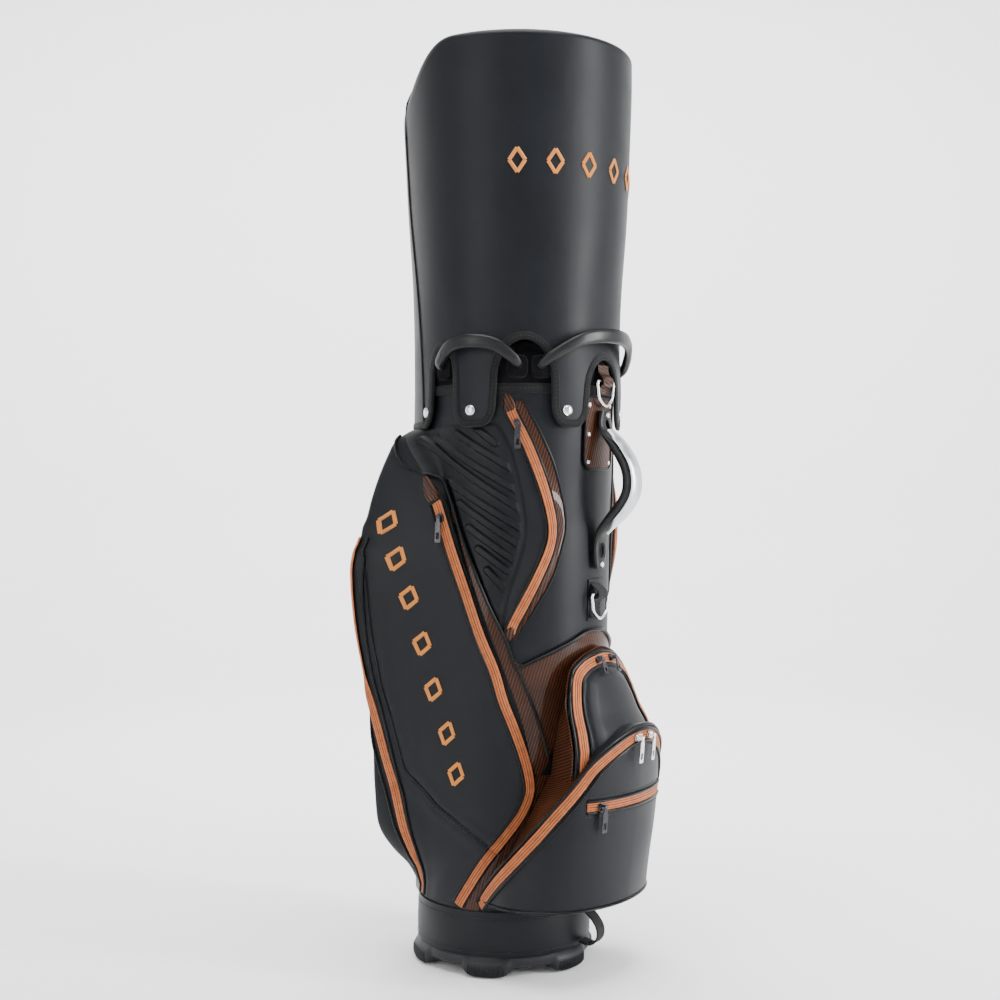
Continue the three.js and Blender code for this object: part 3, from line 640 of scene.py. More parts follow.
def leather(name, color=(0.0034, 0.0044, 0.0064), roughness=0.44, grain=1.0):
    """Matt coated leather: a fine pebble grain, slow changes of tone and a slightly worn sheen."""
    s = Shader(name, color, roughness, Specular_IOR_Level=0.17)
    place = s.place()
    tone = s.node("TexNoise", Vector=place, Scale=9.0, Detail=3.0)
    dark = shade(color, 0.82)
    light = shade(color, 1.2)
    s.color(s.mix(s.span(tone, 0.3, 0.7), dark, light))
    bend = s.node("TexNoise", result="Color", Vector=place, Scale=260.0, Detail=2.0)
    bent = s.node("VectorMath", settings={"operation": "MULTIPLY_ADD"}, i0=bend, i1=(0.0012,) * 3, i2=place)
    pebbles = s.node("TexVoronoi", result="Distance", Vector=bent, Scale=900.0)
    s.bump(pebbles, 0.22 * grain, 0.00025)
    slow = s.node("TexNoise", Vector=place, Scale=60.0, Detail=4.0)
    s.bump(slow, 0.10 * grain, 0.0009)
    s.rough(s.span(tone, 0.25, 0.75, roughness - 0.05, roughness + 0.07))
    return s.material


def velvet(name):
    """Black pile that catches a faint cool sheen."""
    sheen = {"Sheen_Weight": 0.12, "Sheen_Roughness": 0.4, "Specular_IOR_Level": 0.08}
    s = Shader(name, (0.003, 0.003, 0.0035), 0.95, **sheen)
    s.surface.inputs["Sheen Tint"].default_value = (0.25, 0.26, 0.3, 1)
    pile = s.noise(1900.0, 2.0)
    s.bump(pile, 0.5, 0.0004)
    tone = s.noise(45.0, 3.0)
    s.color(s.mix(s.span(tone, 0.35, 0.65), (0.0018, 0.0018, 0.0022), (0.005, 0.005, 0.006)))
    return s.material


def twill(name):
    """Brown twill under a thick clear coat: slanted ribs, each tow shaded across its width."""
    coat = {"Coat_Weight": 0.25, "Coat_Roughness": 0.03, "Specular_IOR_Level": 0.08}
    s = Shader(name, (0.03, 0.012, 0.006), 0.35, **coat)
    u, v, _ = s.split(s.lay())
    slant = s.math("ADD", s.math("MULTIPLY", u, 240.0), s.math("MULTIPLY", v, 68.0))
    rib = s.math("FRACT", slant)
    cross = s.math("FRACT", s.math("SUBTRACT", s.math("MULTIPLY", v, 330.0), s.math("MULTIPLY", u, 60.0)))
    ridge = s.math("SINE", s.math("MULTIPLY", rib, math.pi))
    thread = s.math("SINE", s.math("MULTIPLY", cross, math.pi))
    weave = s.math("MULTIPLY", s.math("POWER", ridge, 1.5), s.span(thread, 0.0, 1.0, 0.72, 1.0))
    tone = s.noise(30.0, 2.0)
    # painted shade: the colour falls to near black between the tows and dims where the cross threads dip
    base = s.mix(s.span(weave, 0.1, 0.95), (0.0014, 0.0007, 0.0004), (0.075, 0.024, 0.0095))
    s.color(s.mix(s.span(tone, 0.35, 0.65, 0.0, 0.35), base, (0.016, 0.0065, 0.0035)))
    s.bump(weave, 0.35, 0.0005)
    s.rough(s.span(weave, 0.0, 1.0, 0.5, 0.28))
    return s.material


def tape_cloth(name):
    """Zipper tape: copper-orange cloth with fine teeth across it, and painted shade in dark lines along its
    grooves and between its teeth.
    """
    s = Shader(name, (0.4, 0.12, 0.04), 0.62, Sheen_Weight=0.05, Specular_IOR_Level=0.25)
    along, across, _ = s.split(s.lay())
    side = s.math("MULTIPLY", s.math("ABSOLUTE", across), 1000.0)
    # painted shade: dark lines where the tape dips, in its middle and along the grooves 3.1 mm out
    middle = s.span(side, 0.25, 0.65, 1.0, 0.0)
    groove = s.math("ABSOLUTE", s.math("SUBTRACT", side, 3.1))
    line = s.span(groove, 0.2, 0.55, 1.0, 0.0)
    painted_groove_shade = s.math("MAXIMUM", middle, s.math("MULTIPLY", line, 0.75))
    teeth = s.ribs(along, 0.0014)
    tone = s.noise(120.0, 3.0)
    cloth = s.mix(s.span(tone, 0.3, 0.7), (0.33, 0.088, 0.026), (0.46, 0.14, 0.046))
    # painted shade in the hollows between the teeth
    cloth = s.mix(s.span(teeth, -1.0, 1.0, 0.22, 0.0), cloth, (0.14, 0.035, 0.01))
    s.color(s.mix(painted_groove_shade, cloth, (0.05, 0.013, 0.005)))
    s.bump(teeth, 0.25, 0.0004)
    weave = s.noise(1500.0, 1.0)
    s.bump(weave, 0.25, 0.0003)
    return s.material


def thread(name, color, roughness=0.45):
    """Satin-stitched thread."""
    s = Shader(name, color, roughness, Sheen_Weight=0.05, Specular_IOR_Level=0.3)
    fine = s.noise(900.0, 2.0)
    dark = shade(color, 0.75)
    s.color(s.mix(s.span(fine, 0.3, 0.7), dark, color))
    s.bump(fine, 0.3, 0.0003)
    return s.material


def webbing(name, color=(0.006, 0.006, 0.007), pitch=0.0016):
    """Close woven webbing: ribs across and a finer weave along."""
    s = Shader(name, color, 0.72, Sheen_Weight=0.06, Specular_IOR_Level=0.15)
    along, across, _ = s.split(s.lay())
    rib = s.ribs(along, pitch)
    weft = s.ribs(across, pitch * 0.8)
    weave = s.math("MULTIPLY", rib, weft)
    # painted shade in the weave's hollows and painted light on its crowns
    s.color(s.mix(s.span(weave, -1.0, 1.0), shade(color, 0.6), shade(color, 1.5)))
    s.bump(weave, 0.5, 0.0004)
    return s.material


def moulded(name, color=(0.005, 0.0053, 0.006), roughness=0.36):
    """Satin moulded rubber or plastic with a fine spark texture and slightly polished high spots."""
    s = Shader(name, color, roughness, Specular_IOR_Level=0.26)
    spark = s.noise(1400.0, 2.0)
    s.bump(spark, 0.18, 0.0002)
    tone = s.noise(25.0, 4.0)
    s.rough(s.span(tone, 0.3, 0.7, roughness - 0.08, roughness + 0.08))
    s.color(s.mix(s.span(tone, 0.3, 0.7), shade(color, 0.8), shade(color, 1.25)))
    return s.material


def metal(name, color, roughness):
    """Plated metal with fine handling scratches and a slightly uneven polish."""
    s = Shader(name, color, roughness, Metallic=1.0)
    tone = s.noise(70.0, 4.0)
    scratch = s.noise(2200.0, 1.0)
    s.rough(s.span(tone, 0.3, 0.7, roughness * 0.75, roughness * 1.35))
    s.color(s.mix(s.span(tone, 0.3, 0.7), shade(color, 0.85), color))
    s.bump(scratch, 0.05, 0.0001)
    return s.material


def nylon(name):
    """Thin ribbed lining cloth."""
    s = Shader(name, (0.01, 0.01, 0.011), 0.8, Sheen_Weight=0.05, Specular_IOR_Level=0.2)
    place = s.place()
    height = s.split(place)[2]
    ribs = s.ribs(height, 0.0012)
    s.bump(ribs, 0.3, 0.0002)
    tone = s.node("TexNoise", Vector=place, Scale=40.0, Detail=2.0)
    s.color(s.mix(s.span(tone, 0.3, 0.7), (0.011, 0.011, 0.013), (0.022, 0.022, 0.025)))
    return s.material


LEATHER = leather("charcoal_leather")
DARK_LEATHER = leather("pressed_leather", (0.003, 0.0036, 0.0048), 0.42)
PIPING_LEATHER = leather("piping_leather", (0.0022, 0.0025, 0.0031), 0.34, 0.6)
VELVET = velvet("black_velvet")
TWILL = twill("brown_twill")
TAPE = tape_cloth("copper_tape")
BINDING = webbing("black_binding", (0.0042, 0.0045, 0.0052), 0.0013)
WEBBING = webbing("black_webbing")
THREAD = thread("orange_thread", (0.56, 0.2, 0.03))
BLACK_THREAD = thread("black_thread", (0.005, 0.0055, 0.0065), 0.5)
MOULDED = moulded("satin_black")
BASE_MOULDING = moulded("charcoal_moulding", (0.0085, 0.0095, 0.0115), 0.5)
SILVER = metal("bright_silver", (0.72, 0.73, 0.75), 0.22)
SATIN_SILVER = metal("satin_silver", (0.6, 0.61, 0.64), 0.34)
GUNMETAL = metal("gunmetal", (0.06, 0.06, 0.066), 0.26)
NYLON = nylon("nylon_lining")


# ---------------------------------------------------------------- sewn details
# Half a zipper tape's width is 6: a hem, a woven groove at 3.1 and the coil beside the middle
TAPE_OUTLINE = [
    (-6.0, -0.6), (-6.0, 0.9), (-4.9, 1.25), (-3.9, 1.3), (-3.1, 0.75), (-2.3, 1.7), (-1.2, 1.8),
    (-0.35, 1.35), (0, 0.5), (0.35, 1.35), (1.2, 1.8), (2.3, 1.7), (3.1, 0.75), (3.9, 1.3), (4.9, 1.25),
    (6.0, 0.9), (6.0, -0.6),
]


def cord_on(shape, surface, phi, z, aside=0.0, diameter=PIPING, lift=None):
    """Piping laid on a skin beside a line."""
    if aside:
        phi, z = shifted(phi, z, aside)
    path, out = on_surface(surface, phi, z, diameter * 0.32 if lift is None else lift)
    shape.sweep(path, out, round_outline(diameter, diameter, 10))


def cord_piece(name, surface, route, **kind):
    """One piece of piping along a route of phi and z."""
    cord = Shape()
    cord_on(cord, surface, *route, **kind)
    cord.done(name, PIPING_LEATHER, slot="soft_leather")


def stitch_line(shape, surface, phi, z, aside=0.0, **kind):
    """Stitches on a skin beside a line."""
    phi, z = shifted(phi, z, aside)
    path, out = on_surface(surface, phi, z)
    stitches(shape, path, out, **kind)


def zipper(name, surface, places, replaces, pipings=(-7.4, 7.4), lift=0.4):
    """A coil zipper's tape along a line of places, and its two pipings."""
    phi, z = along_route(places, 2.5 / DETAIL, surface)
    path, out = on_surface(surface, phi, z, lift)
    tape = Shape()
    tape.sweep(path, out, TAPE_OUTLINE)
    tape.done(name + "_tape", TAPE, slot="zipper_tape", replaces=replaces, sharp=28)
    edge = Shape()
    for aside in pipings:
        cord_on(edge, surface, phi, z, aside)
    edge.done(name + "_piping", PIPING_LEATHER, slot="soft_leather")


# ---------------------------------------------------------------- tube, mouth and cuff
RIB_BARS = (  # where each pressed bar starts and ends
    ((80, 709), (67, 687)), ((92, 702), (58, 655)), ((106, 695), (53, 625)), ((115, 694), (49, 598)),
    ((96, 640), (49, 575)), ((88, 611), (50, 554)), ((81.5, 580), (53, 535)), ((75.5, 553), (55, 519)),
    ((70, 526), (59, 500)),
)


def rib_outline():
    """The ribbed panel's edge as a closed line of places."""
    heights = np.linspace(RIB_LOW, RIB_HIGH, 24)
    front = [(float(rib_front(z)), z) for z in heights]
    back = [(float(rib_back(z)), z) for z in heights[::-1]]
    return front + back + front[:1]


def rib_depth(phi, z):
    """How far inside the ribbed panel's outline a place is, in millimetres; negative outside it."""
    away = distance(rib_outline(), phi, z)
    inside = (phi > rib_front(z)) & (phi < rib_back(z)) & (z > RIB_LOW) & (z < RIB_HIGH)
    return np.where(inside, away, -away)


def tube_relief(phi, z):
    """The tube's skin with the sewn valley that rings each ribbed panel."""
    depth = rib_depth(np.abs(phi), z)
    valley = -3.2 * hump(depth + 2.0, 5.5)
    return body_skin(phi, z) + np.where(depth > 2, -2.5, valley)


def build_tube():
    """The tube's leather with the two seams down its back."""
    shell = Shape()
    columns, rows = int(300 * DETAIL), int(240 * DETAIL)
    phi, z = np.meshgrid(np.arange(columns) * 360 / columns - 180, np.linspace(80, 757, rows + 1))
    r = tube_relief(phi, z)
    shell.shell(at(phi, r, z), 2.6, cloth_lay(phi, z, r), wrap=True)
    shell.done("tube_skin", LEATHER, slot="soft_leather", replaces=["body_tube"])

    seams = Shape()
    for side in (1, -1):
        phi, z = along_route([(side * BACK_SEAM, 84), (side * BACK_SEAM, 750)], 4)
        cord_on(seams, body_skin, phi, z, diameter=2.6)
    threads = Shape()
    for side in (1, -1):
        beside = side * (BACK_SEAM - 3.2)
        phi, z = along_route([(beside, 90), (beside, 748)], 4)
        stitch_line(threads, body_skin, phi, z)
    seams.done("tube_back_piping", PIPING_LEATHER, slot="soft_leather")
    threads.done("tube_back_stitches", BLACK_THREAD, slot="soft_leather")


def ring_path(radius, z, steps):
    """A level ring round the axis and its outward directions."""
    path = at(np.linspace(-180, 180, steps, endpoint=False), radius, z)
    return path, radial(path)


def build_rim():
    """The stitched binding round the tube's mouth."""
    binding = Shape()
    path, out = ring_path(TUBE_RADIUS - 0.4, 757, 240)
    binding.sweep(path, out, round_outline(13, 6.4, 16, 3.2), loop=True)
    binding.done("rim_binding", BINDING, slot="webbing")
    threads = Shape()
    path, out = ring_path(TUBE_RADIUS + 2.9, 757, 360)
    stitches(threads, path, out, 3.2, 2.2, 0.9, 0.0)
    threads.done("rim_stitches", BLACK_THREAD, slot="webbing")


CUFF_PROFILE = (
    (121.2, 761), (129.6, 761), (130.8, 768), (131, 778), (130.8, 800), (129.2, 810), (126, 815.6),
    (122.6, 815.8), (121.3, 810), (121, 800), (121, 775),
)
CUFF_HANDLES = (  # name, phi of its middle, half its width in degrees, reach from the axis and rise
    ("front", 0, 42.5, 154, 40), ("left", 78, 22.3, 156, 29), ("right", -78, 22.3, 156, 29),
)
HANDLE_FOOT = 786
FOOT_WIDE, FOOT_TALL = 27, 30  # the velvet block that each end of a cuff handle stands on


def build_cuff():
    """The velvet collar with the blocks that its handles stand on."""
    cuff = Shape()
    columns = int(180 * DETAIL)
    phi = np.arange(columns) * 360 / columns
    rings = np.stack([at(phi, r, z) for r, z in CUFF_PROFILE])
    cuff.add(rings, ring_faces(len(CUFF_PROFILE), columns, closed=True))
    up = np.tile([0.0, 0.0, 1.0], (3, 1))
    for handle in CUFF_HANDLES:
        middle, half = handle[1:3]
        for side in (-1, 1):
            path = at(middle + side * half, np.array([129, 133, 136.5]), HANDLE_FOOT - 2)
            cuff.sweep(path, up, round_outline(FOOT_WIDE, FOOT_TALL, 20, 3.5), size=[1, 1, 0.9])
    cuff.done("cuff_velvet", VELVET, slot="velvet", replaces=["cuff_ring"])
    dress(frame["nodes"]["divider_frame"], VELVET, 1.6)


def dress(node, material, bevel=0.0):
    """Gives a CAD node that stays on show its material and softened edges."""
    node.data.materials.clear()
    node.data.materials.append(material)
    if bevel:
        soften = node.modifiers.new("soften", "BEVEL")
        soften.width = bevel * MM
        soften.segments = 3
        soften.limit_method = "ANGLE"
        soften.angle_limit = math.radians(40)
        soften.harden_normals = True


def cuff_handle(node, middle, half, reach, rise):
    """A moulded handle: a tall ribbon that bows out, thinner at its ends, with teeth along its top."""
    name = node + "_bar"
    half_way = [(-1, 132, 0), (-1, 141, 0.04), (-0.88, 147, 0.3), (-0.5, reach - 3, 0.84), (0, reach, 1)]
    places = half_way + [(-s, r, up) for s, r, up in half_way[-2::-1]]
    points = [at(middle + s * half, r, HANDLE_FOOT + up * rise) for s, r, up in places]
    path = smooth_path(points, 1.8)
    t = np.linspace(-1, 1, len(path))
    tall = 1 - 0.42 * np.abs(t) ** 2.2
    out = radial(path)
    bar = Shape()
    outline = round_outline(18, 10.5, 24, 2.8)
    bar.sweep(path, out, outline, size=np.stack([tall, 0.85 + 0.15 * tall], -1))
    along = unit(np.gradient(path, axis=0))
    up = unit(np.cross(along, out))
    up = np.where(up[:, 2:] < 0, -up, up)
    crest = path + up * (tall * 9.0 - 0.5)[:, None] * MM
    teeth = Shape()
    gone = run_length(crest) / MM
    across_top = np.array([-3.6, -1.8, 0, 1.8, 3.6])
    for start in np.arange(0.2 * gone[-1], 0.8 * gone[-1], 3.6):
        face = unit(along_path(start, gone, out))
        lift = unit(along_path(start, gone, up))
        tooth = along_path(start, gone, crest) + across_top[:, None] * face * MM
        teeth.sweep(tooth, np.tile(lift, (5, 1)), round_outline(1.9, 2.6, 8), size=[0.5, 0.95, 1, 0.95, 0.5])
    for side in (-1, 1):
        k = int((0.5 + side * 0.36) * (len(path) - 1))
        near = slice(max(k - 4, 0), k + 5)
        teeth.sweep(path[near] + out[near] * 5.0 * MM, out[near], round_outline(5, 1.4, 10))
    bar.done(name, MOULDED, slot="moulded_black", replaces=[node])
    teeth.done(name + "_teeth", MOULDED, slot="moulded_black")


def build_cuff_handles():
    for place, *shape in CUFF_HANDLES:
        cuff_handle("cuff_handle_" + place, *shape)


# ---------------------------------------------------------------- base
FOOT_PITCH = 360 // FEET  # degrees from one foot to the next
FOOT_HALF = 17.5  # half a foot's width in degrees
FOOT_PROUD = 4.5
SOLE_LOW, SOLE_HIGH = 0.4, 12.0  # the underside at a foot and between the feet
RIB_PITCH = 1.28  # degrees between the ribs on a foot


def foot_share(phi):
    """1 in the middle of a foot, 0 between the feet."""
    half = FOOT_PITCH / 2
    away = np.abs((phi - FIRST_FOOT + half) % FOOT_PITCH - half)
    return 1 - np.clip(away / FOOT_HALF, 0, 1) ** 4


def foot_proud(phi):
    """How far the base stands out at its feet."""
    return FOOT_PROUD * ramp(foot_share(phi), 0.15, 0.8)


def foot_sole(phi):
    """Height of the base's underside."""
    return lerp(SOLE_HIGH, SOLE_LOW, foot_share(phi))


def build_tray():
    """The moulded base: a rim under the band that swells down into six ribbed feet."""
    phi = np.arange(360) * 1.0
    proud, sole = foot_proud(phi), foot_sole(phi)
    profile = [
        (111.5, 29), (114.5, 27.4), (116.6, 25.6), (117.2 + 0.5 * proud, 22), (117.2 + proud, 18),
        (117.0 + proud, lerp(sole, 18, 0.45)), (115.8 + proud, sole + 2.2), (113.4 + proud, sole + 0.5),
        (109 + proud, sole), (100, sole), (94, lerp(sole, 11, 0.8)), (70, 10), (PAD_RADIUS + 3, 9),
        (PAD_RADIUS, 0.3), (2, 0.2),
    ]
    points = np.stack([at(phi, r, z) for r, z in profile])
    lay = np.stack([cloth_lay(phi, z, r) for r, z in profile])
    tray = Shape()
    tray.shell(points, 2.0, lay, wrap=True)
    tray.done("base_tray_moulding", BASE_MOULDING, slot="moulded_black", replaces=["base_tray"])
    ribs = Shape()
    for middle in range(FIRST_FOOT, FIRST_FOOT + 360, FOOT_PITCH):
        for k in range(-9, 10):
            here = middle + k * RIB_PITCH
            low = float(foot_sole(here))
            reach = 117.4 + float(foot_proud(here))
            heights = np.array([19.0, 15.5, low + 5, low + 2.4])
            path = at(here, np.array([reach - 0.8, reach, reach, reach - 1.2]), heights)
            ribs.sweep(path, radial(path), round_outline(1.5, 1.8, 8), size=[0.5, 1, 1, 0.6])
    ribs.done("base_foot_ribs", BASE_MOULDING, slot="moulded_black")


def build_base():
    """The stitched leather band, the moulded tray under it and the grab loop."""
    band = Shape()
    columns, rows = int(240 * DETAIL), int(16 * DETAIL)
    phi, v = np.meshgrid(np.arange(columns) * 360 / columns, np.linspace(0, 1, rows + 1))
    z = lerp(BAND_BOTTOM, BAND_TOP + 1, v)
    groove = 1.0 * hump(z - 79, 1.6)
    bulge = 1.6 * np.sin(np.pi * v) ** 0.5 - groove + 0.3 * waves(phi, z, 8, 90)
    r = lerp(115.2, 116.2, v) + bulge
    band.shell(at(phi, r, z), 2.2, cloth_lay(phi, z, r), wrap=True)
    band.done("base_band_leather", LEATHER, slot="soft_leather", replaces=["base_band"])
    threads = Shape()
    for radius, z in ((117.3, 76.5), (117.0, 33)):
        path, out = ring_path(radius, z, 360)
        stitches(threads, path, out, 3.4, 2.0, 0.9, 0.1)
    threads.done("base_band_stitches", BLACK_THREAD, slot="soft_leather")

    build_tray()

    build_grab_loop()


def build_grab_loop():
    """The webbing loop sewn to the band in front."""
    strap = Shape()
    loop = [(118.5, 76), (127, 73), (137, 64), (144.5, 52), (144, 39), (134, 30.5), (118.5, 33)]
    path = smooth_path([at(-6, r, z) for r, z in loop], 2)
    strap.sweep(path, radial(path), round_outline(23, 2.4, 16, 5))
    strap.done("grab_loop_strap", WEBBING, slot="webbing", replaces=["base_grab_loop"])
    edge_stitches("grab_loop_stitches", path, 9.5, 1.1)


# ---------------------------------------------------------------- side pockets
# Lines of (phi, z) on the left side
RIDGE_SEAM = (
    (124, 540), (123, 505), (122.3, 421), (121.7, 370), (119.4, 326), (116, 272), (113, 256), (106, 237),
    (98, 217), (85, 198), (71, 178), (60, 160),
)
STRIP_PIPING = (
    (97.9, 637), (92.5, 610), (85, 566), (77, 525), (68, 479), (59, 439), (54, 408), (49, 388), (39, 334),
    (31.5, 287),
)
REAR_TRACK = (
    (127, 566), (127, 518), (127, 450), (127, 387), (125.5, 344), (123.5, 298), (121.5, 264), (118.8, 225),
    (116.8, 190), (116, 160), (117, 136), (119.5, 94),
)
SHOULDER_PIPING = (
    (94.5, 612), (97.5, 632), (102, 643), (109, 650), (116, 658), (121, 672), (125, 689), (127.5, 699),
)
SIDE_TRACK_HEIGHTS = (612, 606, 554, 497, 447, 399, 359, 326, 290, 262, 240, 215, 190, 150, 112, 92)


def side_edge(z):
    """phi of the side pocket's front edge."""
    return side_front(z) - EDGE_AHEAD


def side_relief(phi, z):
    """The side pocket's leather: rolled at its front edge, sewn in along its seams, softly padded between."""
    away = np.abs(phi)
    inward = (away - side_edge(z)) * ARC
    seam = distance(RIDGE_SEAM, away, z)
    rear = distance(REAR_TRACK, away, z)
    rolled = 1 - ramp(z, 628, 652)
    r = side_skin(away, z) - 4.6 * rolled * (1 - ramp(inward, -1.0, 5.0))
    r = r - 2.4 * hump(seam, 2.2) + 1.5 * hump(seam - 9, 6.5)  # the ridge seam and the swelling beside it
    r = r + 1.2 * hump(rear - 15, 7.0) - 1.2 * hump(rear, 7.0)  # the rear zipper's valley
    r = r + 1.0 * hump(inward - 17, 8.0)  # the swelling behind the front zipper
    pad = ramp(inward, 14, 60) * ramp(seam, 4, 40)
    r = r + pad * (1.6 + 0.9 * waves(away, z, 1, 170))
    brow = np.sqrt(1 - 0.82 * np.clip((z - (SIDE_HIGH - 22)) / 22, 0, 1) ** 2)  # rounds the top over
    return lerp(tube_radius(z) + 2, r, brow)


def build_side_pocket(hand, side):
    """A side pocket with its seam, two zippers and the piping on its shoulder."""

    def place(u, v):
        z = lerp(SIDE_LOW, SIDE_HIGH, v)
        front = side_edge(z)
        corner = np.maximum(front + 1, CORNER - 2)
        phi = np.where(u < 0.7, lerp(front, corner, u / 0.7), lerp(corner, REAR + 4, (u - 0.7) / 0.3))
        return side * phi, z

    name = "side_pocket_" + hand
    leather_name = name + "_leather"
    sheet(leather_name, side_relief, (150, 230), place, 3.0, LEATHER, "soft_leather", replaces=[name])

    seam = along_route(mirrored(RIDGE_SEAM[:-1], side))
    cord_piece(name + "_seam", side_relief, seam, diameter=1.6, lift=0.2)
    threads = Shape()
    stitch_line(threads, side_relief, *seam, side * 3.6, lift=0.3)
    threads.done(name + "_stitches", BLACK_THREAD, slot="soft_leather")

    track = [(side * (float(side_front(h)) - TRACK_AHEAD - 0.3), h) for h in SIDE_TRACK_HEIGHTS]
    zipper("side_front_zipper_" + hand, side_relief, track, ["side_front_zipper_" + hand])
    zipper("side_rear_zipper_" + hand, side_relief, mirrored(REAR_TRACK, side), ["side_rear_zipper_" + hand])

    shoulder = along_route(mirrored(SHOULDER_PIPING, side))
    cord_piece(name + "_top_piping", pressed_relief, shoulder, diameter=4.2)
    end = side * (float(side_front(626)) - 2.0)
    garage("side_zipper_garage_" + hand, side_relief, end, 629, side * -24, 17, 38)


def garage(name, surface, phi, z, lean, width, length):
    """The gathered cap of glossy twill over a zipper's end."""
    cap = Shape()
    centre, out = on_surface(surface, np.array([phi]), np.array([z]), 0.6)
    centre, out = centre[0], out[0]
    up = np.array([0.0, 0.0, 1.0])
    up = unit(up - out * np.dot(up, out))
    aside = np.cross(up, out)
    turn = math.radians(lean)
    length_way = up * math.cos(turn) + aside * math.sin(turn)
    width_way = np.cross(length_way, out)
    u, v = np.meshgrid(np.linspace(-1, 1, 25), np.linspace(-0.85, 1, 33))
    half = width / 2 * (0.06 + np.sqrt(1 - v * v)) * (1 - 0.4 * v)
    pleats = 0.5 * np.sin(u * 9 + v * 1.5) * (1 - np.abs(u)) * (1 - v * v)
    crown = 3.6 * np.sqrt(np.clip(1 - u * u, 0, 1)) * np.sqrt(np.clip(1 - v * v, 0, 1)) + pleats
    points = (
        centre
        + (u * half)[..., None] * width_way * MM
        + (v * length / 2)[..., None] * length_way * MM
        + crown[..., None] * out * MM
    )
    lay = np.stack([u * half, v * length / 2], -1) * MM
    cap.shell(points, 1.2, lay, out=np.broadcast_to(out, points.shape))
    cap.done(name, TWILL, slot="glossy_weave", sharp=60)


# ---------------------------------------------------------------- ribbed panels
def pressed_relief(phi, z):
    """Pressed leather: raised bars on the tube and on the shoulder that climbs to the side pocket."""
    away = np.abs(phi)
    heights = np.linspace(RIB_LOW, RIB_HIGH, 24)
    front = distance([(float(rib_front(h)), h) for h in heights], away, z)
    inset = np.minimum(front, distance(STRIP_PIPING, away, z))
    bars = np.zeros(np.shape(away))
    for bar in RIB_BARS:
        bars = np.maximum(bars, 1 - ramp(distance(bar, away, z), 2.9, 5.4))
    edge = ramp(np.minimum(inset, distance(SHOULDER_PIPING, away, z)), 5, 8) * ramp(z, 707, 704)
    low, high = rib_back(z), side_edge(z)
    share = np.clip((away - low) / np.maximum(high - low, 0.5), 0, 1)
    rise = (side_relief(high, z) - TUBE_RADIUS - 1) * (0.85 * share**1.6 + 0.15 * share**3)
    skin = TUBE_RADIUS - 0.6 + 1.6 * ramp(inset, -1, 6) + rise + 4.4 * bars * edge
    return np.where(away < high, skin, side_relief(away, z) + 0.4)


def build_rib_panel(hand, side):
    """The pressed panel and the shoulder that carries its bars on to the side pocket."""

    def place(u, v):
        z = lerp(RIB_LOW + 1, RIB_HIGH, v)
        return side * lerp(rib_front(z), rib_back(z), u), z

    def shoulder_place(u, v):
        z = lerp(596, SIDE_HIGH, v)
        return side * lerp(rib_back(z), side_edge(z) + 1.2, u), z

    node = "rib_panel_" + hand
    name = node + "_pressed"
    piece = sheet(
        name, pressed_relief, (150, 320), place, 4.0, DARK_LEATHER, "moulded_black", replaces=[node]
    )
    name = "side_pocket_%s_shoulder" % hand
    sheet(name, pressed_relief, (90, 150), shoulder_place, 2.0, DARK_LEATHER, "soft_leather")


# ---------------------------------------------------------------- yoke and crescents
YOKE_PIPING = ((0, 445.5), (9, 444), (19.7, 433), (30.7, 422), (40.6, 412), (52, 400))


def yoke_skin(_, z):
    """The yoke's outside, the same all round the tube."""
    return tube_radius(z) + YOKE_THICK + 0.5


def build_yoke():
    """The glossy yoke round the front, with its pipings."""

    def place(u, v):
        phi = lerp(-YOKE_EDGE - 3, YOKE_EDGE + 3, u)
        away = np.abs(phi)
        return phi, lerp(yoke_low(away) - 2, yoke_top(away), v)

    name = "front_yoke_twill"
    sheet(name, yoke_skin, (330, 26), place, 2.4, TWILL, "glossy_weave", replaces=["front_yoke"])
    cords = Shape()
    edge = along_route(mirrored(YOKE_PIPING[::-1], -1) + list(YOKE_PIPING[1:]))
    cord_on(cords, yoke_skin, *edge, diameter=4.4)
    for side in (1, -1):
        cord_on(cords, yoke_skin, *along_route(mirrored(STRIP_PIPING, side)), diameter=4.2)
    cords.done("front_yoke_piping", PIPING_LEATHER, slot="soft_leather")
    threads = Shape()
    stitch_line(threads, body_skin, *edge, 5.2)
    threads.done("front_yoke_stitches", BLACK_THREAD, slot="soft_leather")


# phi of the ball pocket's side edge by height
ball_side = curve((88, 74), (106, 71), (131, 64), (164, 55), (187, 49), (212, 43), (243, 36), (273, 29))


def build_foot_strip(hand, side):
    """Glossy twill between the feet of the ball pocket's and the side pocket's zippers."""

    def place(u, v):
        z = lerp(86, 262, v)
        front = ball_side(z) - 1.5
        return side * lerp(front, np.maximum(side_edge(z) + 1.5, front + 0.1), u), z

    def skin(_, z):
        return tube_radius(z) + 2.2

    sheet("foot_strip_" + hand, skin, (14, 60), place, 1.8, TWILL, "glossy_weave")


def build_upper_pocket(hand, side):
    """The glossy crescent beside an upper pocket, and the pocket's zipper with its end caps."""

    def place(u, v):
        z = lerp(436, 740, v)
        track = np.maximum(upper_track(z) - 2.0, crescent_edge(z) + 0.3)
        return side * lerp(crescent_edge(z), track, u), z

    def skin(phi, z):
        return body_skin(phi, z) + 1.4

    name = "upper_pocket_crescent_" + hand
    sheet(name + "_twill", skin, (40, 150), place, 1.6, TWILL, "glossy_weave", replaces=[name])
    heights = (438, 471, 513, 553, 590, 652, 693, 742)
    edge = along_route([(side * float(crescent_edge(h)), h) for h in heights])
    cord_piece(name + "_piping", body_skin, edge, diameter=3.4)
    heights = (734, 726, 688, 652, 615, 580, 552, 515, 480, 458, 446)
    route = [(side * float(upper_track(h)), h) for h in heights]
    zipper("upper_zipper_" + hand, body_skin, route, ["upper_zipper_" + hand], lift=0.8)
    garage("upper_zipper_top_garage_" + hand, body_skin, side * 60.5, 738, side * -12, 14, 26)
    garage("upper_zipper_foot_garage_" + hand, body_skin, side * 56.5, 446, side * 26, 12, 20)


